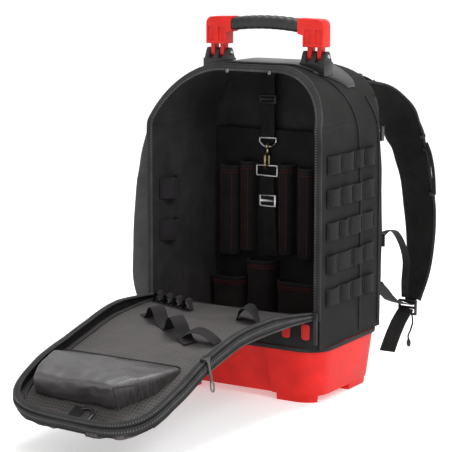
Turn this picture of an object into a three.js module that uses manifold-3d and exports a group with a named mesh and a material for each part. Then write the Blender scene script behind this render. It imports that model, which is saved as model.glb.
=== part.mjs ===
// Tool backpack with a moulded base tray, an open front flap, a padded back and a folding handle.
// Millimetres. X to the pack's right as seen from the front, front towards -Y, +Z up.
// The origin is the centre of the tray's underside.
import * as THREE from 'three';
import Module from 'manifold-3d';
import { mergeVertices } from 'three/addons/utils/BufferGeometryUtils.js';

// Body and tray
const bodyWidth = 312;
const bodyDepth = 213;
const bodyTop = 515;
const bodyWall = 5;
const shoulderRadius = 106;
const backTopRadius = 34;
const leanStart = 425;
const leanBack = 58;
const bodyCut = 20;
const clearance = 0.3;
const past = 1;
const trayHeight = 90;
const trayInset = 1;
const trayWall = 4;
const trayDraft = 8;
const trayCorner = 38;
const trayRecess = 4;
const trayRecessTop = 54;
const trayRecessLow = 66;
const footHeight = 11;
const footStart = 74;
const footInset = 3;
const footFrontLength = 28;
const footBackStart = 14;
const footSink = 0.5;
const middleFootHalf = 60;
const middleFootDepth = 70;
const bindingHeight = 6;
const bindingThick = 2.6;

// Front sill, opening trim and zip
const sillHeight = 46;
const sillThick = 5;
const tabWidth = 14;
const tabHeight = 25;
const tabProud = 2.5;
const tabMiddle = 117;
const tabCut = 3;
const tabInsets = [24, 58];
const rimWide = 9;
const rimProud = 2.4;
const pullLength = 20;
const pullWidth = 6;
const pullThick = 2;
const sliderLength = 11;
const sliderWidth = 7;
const sliderThick = 4;
const sliderStart = 3;
const pullOverlap = 1;
const pullDrop = 34;
const pullStandOff = 2;

// Handle and its brackets
const plateThick = 2.5;
const plateDepth = 84;
const plateMiddle = 22;
const plateReach = 34;
const plateEndInset = 27;
const plateEndMiddle = 40;
const plateEndHalf = 19;
const plateCut = 7;
const bracketMiddle = 88;
const bracketWidth = 44;
const bracketDepth = 27;
const bracketBase = 2;
const bracketMargin = 1;
const finThick = 7.5;
const finRise = 17;
const finCut = 3;
const finTopDepth = 13;
const tongueOffset = 8.6;
const tongueThick = 6.6;
const tongueRadius = 7;
const pinRise = 9;
const pinRadius = 3;
const pinLength = 47;
const pinFit = 0.4;
const legGap = 14.5;
const legHeight = 43;
const legWidth = 36;
const armReach = 9.5;
const armLip = 1;
const armLow = 2;
const armSlope = 2;
const handleDepth = 24;
const handleCorner = 11;
const recessWidth = 11;
const recessHeight = 22;
const recessDepth = 2.5;
const recessLow = 5;
const recessShift = 1;
const gripHeight = 21;
const gripDepth = 27;
const gripArch = 4;
const gripSteps = 10;
const gripRibs = 8;
const gripRibRaise = 1.2;
const gripRibWidth = 9;
const gripRibInset = 5;
const gripRibSink = 3;
const gripRibSpread = 0.94;
const gripDrop = 11;

// Inside
const panelThick = 11;
const panelTop = 398;
const insideLift = 4;
const sleeveDepth = 22;
const sleeveWall = 1.8;
const sleeveHeight = 150;
const sleeveRound = 0.36;
const lowPocketDepth = 32;
const lowPocketWall = 2;
const lowPocketRound = 0.6;
const pocketBackInset = 1;
const hangShare = -0.295;
const hangWidth = 25;
const hangThick = 1.6;
const hangTop = 507.2;
const ringWire = 3;
const ringWidth = 34;
const hangStandOff = 6;
const hangRingHeight = 378;
const hangSliderHeight = 449;
const hangSliderRise = 14;
const hangSliderBar = 1.5;
const hangSliderThick = 2.4;
const hangSliderSide = 4;
const hangSliderFrame = 2.2;
const hookThick = 4;
const ringHeight = 17;
const eyeRadius = 5.6;
const eyeHole = 2.6;
const hookWall = 3.2;
const hookFront = 11;
const hookBack = 6;
const hookHigh = 10;
const hookLow = 36.5;
const hookCorner = 7.5;
const hookNeck = 3;
const gateRoom = 1.6;
const gateLow = 27;
const gateHigh = 15;
const gateThick = 2.6;
const squareShare = 0.269;
const squareHeight = 20;
const lowerEnd = 189;
const lowerDrift = 8;
const lowerGap = 1.1;
const lowerShare = 0.3;
const lowerSliderHeight = 281;
const lowerSliderRise = 20;
const lowerSliderBar = 2;
const sideLoopWidth = 34;
const sideLoopProud = 16;
const sideLoopSpan = 30;
const sideLoopThick = 1.8;
const sideLoopSetBack = 50;
const sideLoopSteps = 14;
const sideLoopTops = [330, 262];

// Side pouch and webbing
const pouchThick = 44;
const pouchEdge = 8;
const pouchBackEdge = 22;
const pouchEdgeShare = 0.7;
const pouchLeast = 0.6;
const pouchLeastEdge = 0.5;
const pouchWall = 2.5;
const pouchDepth = 168;
const pouchSetBack = 12;
const pouchLow = 100;
const pouchHigh = 416;
const webStart = 18;
const webEnd = 2;
const webHeight = 28;
const webPitch = 51;
const webTop = 386;
const webRows = 5;
const webThick = 1.8;
const webRaise = 2.2;
const webLoops = 4;
const webFlat = 0.12;
const webRamp = 0.24;

// Back pads and straps
const padThick = 13;
const padWidth = 104;
const padLow = 150;
const padHigh = 410;
const padMiddle = 76;
const padRound = 0.3;
const lumbarLow = 96;
const lumbarExtra = 3;
const lumbarRound = 0.45;
const strapWidth = 65;
const strapThick = 12;
const strapReach = 281;
const strapSpread = 141;
const strapTop = 464;
const strapTurn = 0.21;
const strapCut = 0.35;
const strapRise = [0.3, 0, 0.95];
const lockWidth = 34;
const lockHeight = 26;
const lockThick = 5;
const lockBar = 4;
const lockInset = 4;
const lockForward = 5;
const lockDrop = 2;
const tailWidth = 28;
const tailThick = 4;
const tailShare = 0.55;
const tailSteps = 5;
const padGap = 12;
const webbingWidth = 25;
const webbingThick = 1.8;
const webbingSteps = 8;
const webbingEndGap = 2;
const webbingEndRise = 6;

// Flap
const flapLength = 445;
const flapSideGap = 9.4;
const flapThick = 5;
const flapRoundFrom = 0.795;
const flapRoundness = 3.45;
const flapLeast = 0.5;
const flapSteps = 40;
const flapCut = 5;
const flapBefore = 8;
const flapTaper = 30;
const flapGusset = 15;
const flapGussetLow = 4;
const flapGussetShare = 0.25;
const gussetThick = 4;
const tapeWidth = 10;
const tapeThick = 1.6;
const flapHingeGap = 1;
const flapPocketRise = 38;
const flapPocketWall = 2;
const flapPocketCut = 5;
const flapPocketEase = 2;
const flapPocketLeast = 0.5;
const flapRingRadius = 15;
const flapRingWire = 3;
const flapRingAcross = 7;
const flapRingShare = 0.93;
const flapPullShare = 0.62;
const elasticWidth = 22;
const elasticThick = 1.6;

// Colours, roughness and metalness from the photograph
const finishes = {
  redPlastic: { color: 0xe2382f, roughness: 0.42, metalness: 0 },
  blackPlastic: { color: 0x2a2a2c, roughness: 0.45, metalness: 0 },
  rubberGrip: { color: 0x232326, roughness: 0.55, metalness: 0 },
  sideFabric: { color: 0x393636, roughness: 0.85, metalness: 0 },
  innerFabric: { color: 0x1e1c1e, roughness: 0.9, metalness: 0 },
  ripstop: { color: 0x4a4545, roughness: 0.85, metalness: 0 },
  webbing: { color: 0x1b1a1b, roughness: 0.8, metalness: 0 },
  padFabric: { color: 0x171616, roughness: 0.9, metalness: 0 },
  zipTape: { color: 0x38383a, roughness: 0.7, metalness: 0 },
  steel: { color: 0xc8c8cc, roughness: 0.25, metalness: 1 },
  brass: { color: 0xb09a72, roughness: 0.3, metalness: 1 },
};

const wasm = await Module();
wasm.setup();
const pack = new THREE.Group();

// The pouch's fullness. Columns: height as a share of the pouch, thickness as a share of its most.
const pouchProfile = [
  [0.00, 0.45], [0.05, 0.66], [0.10, 0.78], [0.14, 0.90], [0.215, 1.00],
  [0.35, 0.98], [0.50, 0.93], [0.71, 0.77], [0.87, 0.55], [0.96, 0.33], [1.00, 0.25],
];

// The tool sleeves. Middle and width are shares of half the body's width.
const sleeves = [
  { middle: -0.75, width: 0.231, top: 336 },
  { middle: -0.526, width: 0.18, top: 345 },
  { middle: -0.058, width: 0.18, top: 344 },
  { middle: 0.186, width: 0.192, top: 340 },
];

// The low pockets. Both edges are shares of half the body's width.
const lowPockets = [
  { name: 'low_pocket_left', from: -0.936, to: -0.538, top: 150 },
  { name: 'low_pocket_middle', from: -0.506, to: -0.167, top: 182 },
  { name: 'low_pocket_right', from: -0.135, to: 0.436, top: 152 },
];

// A side loop's path. Columns: place along it in spans, height over the wall as a share of its most.
const sideLoopShape = [
  [-0.9, 0.0625], [-0.6, 0.094], [-0.4, 0.7], [0, 1], [0.4, 0.7], [0.6, 0.094], [0.9, 0.0625],
];

// A pad's section. Columns: share of its thickness, how far its edge is drawn in.
const padSection = [[0, 1], [0.55, 0], [0.85, 3], [1, 9]];

// The back's upright edges. Columns: height as a share of the body, radius.
const backEdges = [[0, 10], [0.35, 4], [0.6, 10], [0.8, 26], [1, 34]];

// Worked-out places
const halfWidth = bodyWidth / 2;
const halfDepth = bodyDepth / 2;
const bodyLow = trayHeight + clearance;
const sillTop = trayHeight + sillHeight;
const plateTop = bodyTop + clearance + plateThick;
const bracketTop = plateTop + clearance + bracketBase;
const hingeHeight = bracketTop + pinRise;
const legLow = hingeHeight + legGap;
const legTop = legLow + legHeight;
const innerBack = halfDepth - bodyWall;
const panelFront = innerBack - clearance - panelThick;
const hangMiddle = hangShare * halfWidth;
const squareWidth = squareShare * halfWidth;
const flapHalf = halfWidth - flapSideGap;

// Basic solids

function toSolid(geometry) {
  const bare = geometry.index ? geometry.toNonIndexed() : geometry.clone();
  bare.deleteAttribute('normal');
  bare.deleteAttribute('uv');
  const merged = mergeVertices(bare, 1e-4);
  return new wasm.Manifold(new wasm.Mesh({
    numProp: 3,
    vertProperties: merged.attributes.position.array,
    triVerts: new Uint32Array(merged.index.array),
  }));
}

function toGeometry(solid) {
  const mesh = solid.getMesh();
  const positions = new Float32Array(mesh.numVert * 3);
  for (let i = 0; i < mesh.numVert; i += 1) {
    for (let k = 0; k < 3; k += 1) positions[3 * i + k] = mesh.vertProperties[mesh.numProp * i + k];
  }
  const geometry = new THREE.BufferGeometry();
  geometry.setAttribute('position', new THREE.BufferAttribute(positions, 3));
  geometry.setIndex(Array.from(mesh.triVerts));
  return geometry;
}

function add(name, solid, finish) {
  const mesh = new THREE.Mesh(toGeometry(solid), new THREE.MeshStandardMaterial(finishes[finish]));
  mesh.name = name;
  pack.add(mesh);
}

// A flat outline pushed along one axis. The outline's own axes are the two that are left, in the
// order X-Y, X-Z or Y-Z.
const outlineAxes = {
  x: new THREE.Matrix4().makeBasis(
    new THREE.Vector3(0, 1, 0), new THREE.Vector3(0, 0, 1), new THREE.Vector3(1, 0, 0)),
  y: new THREE.Matrix4().makeBasis(
    new THREE.Vector3(1, 0, 0), new THREE.Vector3(0, 0, 1), new THREE.Vector3(0, -1, 0)),
  z: new THREE.Matrix4(),
};

function prism(axis, shape, from, to, curveSegments = 6) {
  const geometry = new THREE.ExtrudeGeometry(shape, {
    depth: to - from, bevelEnabled: false, curveSegments, steps: 1 });
  geometry.applyMatrix4(outlineAxes[axis]);
  const start = axis === 'y' ? to : from;
  geometry.translate(axis === 'x' ? start : 0, axis === 'y' ? start : 0, axis === 'z' ? start : 0);
  return toSolid(geometry);
}

function block(x0, x1, y0, y1, z0, z1) {
  const geometry = new THREE.BoxGeometry(x1 - x0, y1 - y0, z1 - z0);
  geometry.translate((x0 + x1) / 2, (y0 + y1) / 2, (z0 + z1) / 2);
  return toSolid(geometry);
}

function outline(points) {
  return new THREE.Shape(points.map(([a, b]) => new THREE.Vector2(a, b)));
}

function roundedRect(a0, a1, b0, b1, radius) {
  const shape = new THREE.Shape();
  shape.moveTo(a0 + radius, b0);
  shape.lineTo(a1 - radius, b0);
  shape.absarc(a1 - radius, b0 + radius, radius, -Math.PI / 2, 0, false);
  shape.lineTo(a1, b1 - radius);
  shape.absarc(a1 - radius, b1 - radius, radius, 0, Math.PI / 2, false);
  shape.lineTo(a0 + radius, b1);
  shape.absarc(a0 + radius, b1 - radius, radius, Math.PI / 2, Math.PI, false);
  shape.lineTo(a0, b0 + radius);
  shape.absarc(a0 + radius, b0 + radius, radius, Math.PI, 1.5 * Math.PI, false);
  return shape;
}

// A closed skin through rings of the same number of points, with flat ends.
function loft(rings) {
  const count = rings[0].length;
  const points = rings.flat();
  const indices = [];
  for (let r = 0; r + 1 < rings.length; r += 1) {
    for (let i = 0; i < count; i += 1) {
      const j = (i + 1) % count;
      const a = r * count + i;
      const b = r * count + j;
      indices.push(a, b, a + count, b, b + count, a + count);
    }
  }
  const last = (rings.length - 1) * count;
  for (let i = 1; i + 1 < count; i += 1) {
    indices.push(0, i + 1, i);
    indices.push(last, last + i, last + i + 1);
  }
  const geometry = new THREE.BufferGeometry().setFromPoints(points);
  geometry.setIndex(indices);
  if (signedVolume(points, indices) < 0) {
    for (let i = 0; i < indices.length; i += 3) {
      [indices[i + 1], indices[i + 2]] = [indices[i + 2], indices[i + 1]];
    }
    geometry.setIndex(indices);
  }
  return toSolid(geometry);
}

function signedVolume(points, indices) {
  let sum = 0;
  const cross = new THREE.Vector3();
  for (let i = 0; i < indices.length; i += 3) {
    cross.crossVectors(points[indices[i + 1]], points[indices[i + 2]]);
    sum += points[indices[i]].dot(cross);
  }
  return sum / 6;
}

// Points of a rounded rectangle at one height, counted round from the right front corner. A corner
// of no radius is one point.
function levelRing(x0, x1, y0, y1, z, radii, steps) {
  const corners = [
    [x1, y0, -1, 1, -Math.PI / 2], [x1, y1, -1, -1, 0],
    [x0, y1, 1, -1, Math.PI / 2], [x0, y0, 1, 1, Math.PI],
  ];
  const ring = [];
  corners.forEach(([x, y, sx, sy, start], k) => {
    const last = radii[k] > 0 ? steps : 0;
    for (let i = 0; i <= last; i += 1) {
      const angle = start + (i / steps) * Math.PI / 2;
      ring.push(new THREE.Vector3(
        x + radii[k] * (sx + Math.cos(angle)), y + radii[k] * (sy + Math.sin(angle)), z));
    }
  });
  return ring;
}

// A band of webbing or padding along a path. Each path point has a place and a direction across
// the band; the section is a rectangle with its corners cut.
function band(points, across, width, thick, cut = 0.25) {
  const tangents = points.map((point, i) => new THREE.Vector3()
    .subVectors(points[Math.min(i + 1, points.length - 1)], points[Math.max(i - 1, 0)])
    .normalize());
  const rings = points.map((point, i) => {
    const side = across[i].clone()
      .addScaledVector(tangents[i], -across[i].dot(tangents[i])).normalize();
    const normal = new THREE.Vector3().crossVectors(tangents[i], side);
    const half = (Array.isArray(width) ? width[i] : width) / 2;
    const edge = Math.min(thick * cut, half * cut);
    const section = [
      [half, -thick / 2 + edge], [half, thick / 2 - edge],
      [half - edge, thick / 2], [-half + edge, thick / 2],
      [-half, thick / 2 - edge], [-half, -thick / 2 + edge],
      [-half + edge, -thick / 2], [half - edge, -thick / 2],
    ];
    return section.map(([a, b]) => point.clone()
      .addScaledVector(side, a).addScaledVector(normal, b));
  });
  return loft(rings);
}

function vectors(rows) {
  return rows.map(([x, y, z]) => new THREE.Vector3(x, y, z));
}

function smoothPath(rows, count) {
  return new THREE.CatmullRomCurve3(vectors(rows), false, 'centripetal').getPoints(count);
}

function rod(axis, a, b, from, to, radius, sides = 16) {
  const circle = new THREE.Shape();
  circle.absarc(a, b, radius, 0, 2 * Math.PI, false);
  return prism(axis, circle, from, to, sides);
}

function mirrorX(solid) {
  return solid.mirror([1, 0, 0]);
}

// Body

function archShape(inset, low) {
  const half = halfWidth - inset;
  const high = bodyTop - inset;
  const radius = shoulderRadius - inset;
  const shape = new THREE.Shape();
  shape.moveTo(-half, low);
  shape.lineTo(half, low);
  shape.lineTo(half, high - radius);
  shape.absarc(half - radius, high - radius, radius, 0, Math.PI / 2, false);
  shape.lineTo(-half + radius, high);
  shape.absarc(-half + radius, high - radius, radius, Math.PI / 2, Math.PI, false);
  return shape;
}

// The body's outline from the side. Its front edge leans back above leanStart.
function sideShape(inset, low, frontShift) {
  const back = halfDepth - inset;
  const high = bodyTop - inset;
  const radius = backTopRadius - inset;
  const front = -halfDepth - frontShift;
  const slope = leanBack / (bodyTop - leanStart);
  const shape = new THREE.Shape();
  shape.moveTo(front, low);
  shape.lineTo(back, low);
  shape.lineTo(back, high - radius);
  shape.absarc(back - radius, high - radius, radius, 0, Math.PI / 2, false);
  shape.lineTo(front + leanBack + bodyCut * slope, bodyTop + bodyCut);
  shape.lineTo(front, leanStart);
  return shape;
}

// The body's corners seen from above: square at the front, rounded at the back.
function planSolid(inset, low, frontShift) {
  return loft(backEdges.map(([share, edge]) => {
    const radius = Math.max(edge - inset, past);
    return levelRing(-halfWidth + inset, halfWidth - inset, -halfDepth - frontShift,
      halfDepth - inset, low + share * (bodyTop - low), [0, radius, radius, 0], 5);
  }));
}

function archBody(inset, low, frontShift) {
  const arch = prism('y', archShape(inset, low), -halfDepth - frontShift, halfDepth - inset, 9);
  const side = prism('x', sideShape(inset, low, frontShift), -halfWidth, halfWidth);
  return arch.intersect(side).intersect(planSolid(inset, low, frontShift));
}

function makeBody() {
  add('body_shell', archBody(0, bodyLow, 0)
    .subtract(archBody(bodyWall, bodyLow - past, bodyCut)), 'sideFabric');
  const sillHalf = halfWidth - bodyWall - clearance;
  add('front_sill', block(-sillHalf, sillHalf, -halfDepth, -halfDepth + sillThick,
    bodyLow, sillTop), 'webbing');
}

// The zip's tape round the opening, laid on the front edge of the body shell.
function makeRim() {
  const front = clearance + rimProud;
  const ring = prism('y', archShape(0, sillTop), -halfDepth - front, 0, 9)
    .subtract(prism('y', archShape(rimWide, sillTop - past), -halfDepth - front - past, past, 9));
  const forward = prism('x', sideShape(0, bodyLow, front), -halfWidth, halfWidth);
  const behind = prism('x', sideShape(-bodyCut, bodyLow - past, clearance), -halfWidth - past,
    halfWidth + past);
  add('rim_zip_tape', ring.intersect(forward).subtract(behind), 'zipTape');
}

// Tray

function trayLevel(inset, z) {
  const low = footHeight;
  const share = (trayHeight - z) / (trayHeight - low);
  const x = halfWidth - trayInset - trayDraft * share - inset;
  const y = halfDepth - trayInset - trayDraft * share - inset;
  const radius = trayCorner - inset;
  return levelRing(-x, x, -y, y, z, [radius, radius, radius, radius], 6);
}

function makeTray() {
  const floor = footHeight + trayWall;
  let tray = loft([trayLevel(0, footHeight), trayLevel(0, trayHeight)]);
  tray = tray.subtract(loft([trayLevel(trayWall, floor),
    trayLevel(trayWall, trayHeight + past)]));
  const recess = (sign) => {
    const face = (z) => halfDepth - trayInset
      - trayDraft * (trayHeight - z) / (trayHeight - footHeight);
    const level = (z, half) => [
      new THREE.Vector3(-half, sign * (face(z) - trayRecess), z),
      new THREE.Vector3(half, sign * (face(z) - trayRecess), z),
      new THREE.Vector3(half + trayRecess, sign * (face(z) + trayRecess), z),
      new THREE.Vector3(-half - trayRecess, sign * (face(z) + trayRecess), z),
    ];
    return loft([level(footHeight - past, trayRecessLow),
      level(trayHeight + past, trayRecessTop)]);
  };
  const liningBack = halfDepth - trayDraft - 2 * trayWall;
  const liningFront = halfDepth - trayDraft - trayWall / 2;
  const lining = (sign) => block(-trayRecessLow - trayWall, trayRecessLow + trayWall,
    Math.min(sign * liningBack, sign * liningFront), Math.max(sign * liningBack, sign * liningFront),
    footHeight, trayHeight);
  const body = loft([trayLevel(0, footHeight), trayLevel(0, trayHeight)]);
  tray = tray.add(lining(-1)).add(lining(1)).intersect(body);
  tray = tray.subtract(recess(-1)).subtract(recess(1));
  const footSolid = loft([trayLevel(footInset, footHeight).map((p) => p.clone().setZ(0)),
    trayLevel(footInset - past, footHeight + past)]);
  const reach = bodyWidth;
  const feet = [
    [footStart, reach, -reach, -halfDepth + footFrontLength],
    [-reach, -footStart, -reach, -halfDepth + footFrontLength],
    [footStart, reach, footBackStart, reach], [-reach, -footStart, footBackStart, reach],
  ];
  feet.forEach(([x0, x1, y0, y1]) => {
    tray = tray.add(footSolid.intersect(block(x0, x1, y0, y1, -past, footHeight + footSink)));
  });
  tray = tray.add(block(-middleFootHalf, middleFootHalf, -middleFootDepth / 2, middleFootDepth / 2,
    0, footHeight + past));
  add('base_tray', tray, 'redPlastic');
}

function makeBinding() {
  const low = trayHeight - bindingHeight;
  const ring = (inset, z) => levelRing(-halfWidth + inset, halfWidth - inset,
    -halfDepth + inset, halfDepth - inset, z,
    [trayCorner - inset, trayCorner - inset, trayCorner - inset, trayCorner - inset], 6);
  const inset = trayInset - clearance;
  const outer = loft([ring(inset - bindingThick, low), ring(inset - bindingThick, trayHeight)]);
  const inner = loft([ring(inset, low - past), ring(inset, trayHeight + past)]);
  add('base_binding', outer.subtract(inner), 'webbing');
}

// Top plate with the handle's brackets, and the handle

function makeTopPlate() {
  const lift = clearance + plateThick;
  const low = bodyTop - shoulderRadius;
  const ring = prism('y', archShape(-lift, low), -plateDepth, plateDepth, 9)
    .subtract(prism('y', archShape(-clearance, low - past), -plateDepth - past, plateDepth + past, 9));
  const end = halfWidth - plateEndInset;
  const half = plateDepth / 2;
  const y0 = plateEndMiddle - plateEndHalf;
  const y1 = plateEndMiddle + plateEndHalf;
  const right = [
    [end - plateReach, plateMiddle - half], [end - plateCut, y0], [end, y0 + plateCut],
    [end, y1 - plateCut], [end - plateCut, y1], [end - plateReach, plateMiddle + half],
  ];
  const left = right.map(([x, y]) => [-x, y]).reverse();
  add('top_plate', ring.intersect(prism('z', outline(right.concat(left)), low,
    bodyTop + lift + past)), 'blackPlastic');
}

function finShape() {
  const low = bracketTop - past;
  const high = bracketTop + finRise;
  const shape = new THREE.Shape();
  shape.moveTo(-bracketDepth / 2, low);
  shape.lineTo(bracketDepth / 2, low);
  shape.lineTo(finTopDepth / 2, high - finCut);
  shape.lineTo(finTopDepth / 2 - finCut, high);
  shape.lineTo(-finTopDepth / 2 + finCut, high);
  shape.lineTo(-finTopDepth / 2, high - finCut);
  return shape;
}

function makeBracket(name, middle) {
  const seat = archShape(-plateThick - 2 * clearance, bodyTop - shoulderRadius);
  let bracket = block(middle - bracketWidth / 2, middle + bracketWidth / 2,
    -bracketDepth / 2 - bracketMargin, bracketDepth / 2 + bracketMargin,
    bodyTop - shoulderRadius / 2, bracketTop)
    .subtract(prism('y', seat, -bracketDepth, bracketDepth, 9));
  [-1, 0, 1].forEach((k) => {
    const x = middle + k * 2 * tongueOffset;
    bracket = bracket.add(prism('x', finShape(), x - finThick / 2, x + finThick / 2));
  });
  const hole = rod('x', 0, hingeHeight, middle - bracketWidth, middle + bracketWidth,
    pinRadius + clearance, 10);
  add(name, bracket.subtract(hole), 'blackPlastic');
}

function makePin(name, middle) {
  add(name, rod('x', 0, hingeHeight, middle - pinLength / 2, middle + pinLength / 2, pinRadius,
    10), 'steel');
}

function handleEnd() {
  const x0 = bracketMiddle - legWidth / 2;
  const x1 = bracketMiddle + legWidth / 2;
  const shape = new THREE.Shape();
  shape.moveTo(x0, legLow);
  shape.lineTo(x1, legLow);
  shape.lineTo(x1, legTop - handleCorner);
  shape.absarc(x1 - handleCorner, legTop - handleCorner, handleCorner, 0, Math.PI / 2, false);
  shape.lineTo(x0 - armReach, legTop + armLip);
  shape.lineTo(x0 - armReach, legTop - gripHeight - armLow);
  shape.lineTo(x0, legTop - gripHeight - armLow - armSlope);
  let end = prism('y', shape, -handleDepth / 2, handleDepth / 2, 4);
  [-1, 1].forEach((side) => {
    const x = bracketMiddle + side * tongueOffset;
    const recessMiddle = x + side * recessShift;
    [-1, 1].forEach((face) => {
      const outer = face * (handleDepth / 2 + past);
      const inner = face * (handleDepth / 2 - recessDepth);
      end = end.subtract(block(recessMiddle - recessWidth / 2, recessMiddle + recessWidth / 2,
        Math.min(outer, inner), Math.max(outer, inner),
        legLow + recessLow, legLow + recessLow + recessHeight));
    });
    const tongue = new THREE.Shape();
    tongue.moveTo(-tongueRadius, legLow + past);
    tongue.lineTo(-tongueRadius, hingeHeight);
    tongue.absarc(0, hingeHeight, tongueRadius, Math.PI, 2 * Math.PI, false);
    tongue.lineTo(tongueRadius, legLow + past);
    end = end.add(prism('x', tongue, x - tongueThick / 2, x + tongueThick / 2));
  });
  const hole = rod('x', 0, hingeHeight, 0, bracketMiddle + legWidth, pinRadius + pinFit, 10);
  return end.subtract(hole);
}

function makeHandle() {
  const end = handleEnd();
  add('handle_end_right', end, 'redPlastic');
  add('handle_end_left', mirrorX(end), 'redPlastic');
  const half = bracketMiddle - legWidth / 2 - armReach - clearance;
  const middle = legTop - gripDrop;
  const rows = [];
  for (let i = 0; i <= gripSteps; i += 1) {
    const share = 2 * i / gripSteps - 1;
    rows.push([share * half, 0, middle + gripArch * (1 - share * share)]);
  }
  const across = rows.map(() => new THREE.Vector3(0, 1, 0));
  let grip = band(vectors(rows), across, gripDepth, gripHeight, 0.3);
  for (let i = 0; i < gripRibs; i += 1) {
    const share = (2 * (i + 0.5) / gripRibs - 1) * gripRibSpread;
    const x = share * half;
    const z = middle + gripArch * (1 - share * share) + gripHeight / 2;
    grip = grip.add(block(x - gripRibWidth / 2, x + gripRibWidth / 2,
      -gripDepth / 2 + gripRibInset, gripDepth / 2 - gripRibInset, z - gripRibSink,
      z + gripRibRaise));
  }
  const ends = block(-half, half, -gripDepth, gripDepth, legLow, legTop + gripHeight);
  add('handle_grip', grip.intersect(ends), 'rubberGrip');
}

// Inside: back panel, sleeves, pockets, loops and the hanging strap

function makeInside() {
  const board = block(-halfWidth, halfWidth, panelFront, halfDepth, bodyLow + insideLift, panelTop);
  add('tool_panel', board.intersect(archBody(bodyWall + clearance, bodyLow, 0)), 'innerFabric');
  const front = panelFront - clearance;
  const sleeve = (x0, x1, top, low, depth, wall, round) => {
    const outer = prism('z', roundedRect(x0, x1, front - depth, front + depth, round), low, top, 4);
    const inner = prism('z', roundedRect(x0 + wall, x1 - wall, front - depth + wall,
      front + depth - wall, round - wall), low + wall, top + past, 4);
    const keep = block(x0 - past, x1 + past, front - depth - past, front, low - past, top + past);
    const back = block(x0 + pocketBackInset, x1 - pocketBackInset, front - wall, front, low, top);
    return outer.subtract(inner).add(back).intersect(keep);
  };
  sleeves.forEach(({ middle, width, top }, i) => {
    add(`sleeve_${i + 1}`, sleeve((middle - width / 2) * halfWidth, (middle + width / 2) * halfWidth,
      top, top - sleeveHeight, sleeveDepth, sleeveWall, width * halfWidth * sleeveRound),
    'innerFabric');
  });
  lowPockets.forEach(({ name, from, to, top }) => {
    const low = bodyLow + insideLift;
    const limit = Math.min(top, sleeves[0].top - sleeveHeight - clearance);
    add(name, sleeve(from * halfWidth, to * halfWidth, limit, low, lowPocketDepth, lowPocketWall,
      lowPocketDepth * lowPocketRound), 'innerFabric');
  });
}

function makeSideLoops() {
  const wallFace = -halfWidth + bodyWall + clearance;
  sideLoopTops.forEach((top, i) => {
    const rows = sideLoopShape.map(([along, out]) => [wallFace + sideLoopProud * out,
      -halfDepth + sideLoopSetBack + sideLoopSpan * along, top - sideLoopWidth / 2]);
    const points = smoothPath(rows, sideLoopSteps);
    add(`side_loop_${i + 1}`, band(points, points.map(() => new THREE.Vector3(0, 0, 1)),
      sideLoopWidth, sideLoopThick), 'webbing');
  });
}

// The strap that hangs down the back inside: webbing, a slider and a D-ring, the snap hook in the
// D-ring, the square ring on the hook, and the lower webbing with its slider
function hangPlate(face, thick, shape, holes) {
  return holes.reduce((solid, hole) => solid.subtract(prism('y', hole, face - thick - past,
    face + past, 3)), prism('y', shape, face - thick, face, 4));
}

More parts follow.
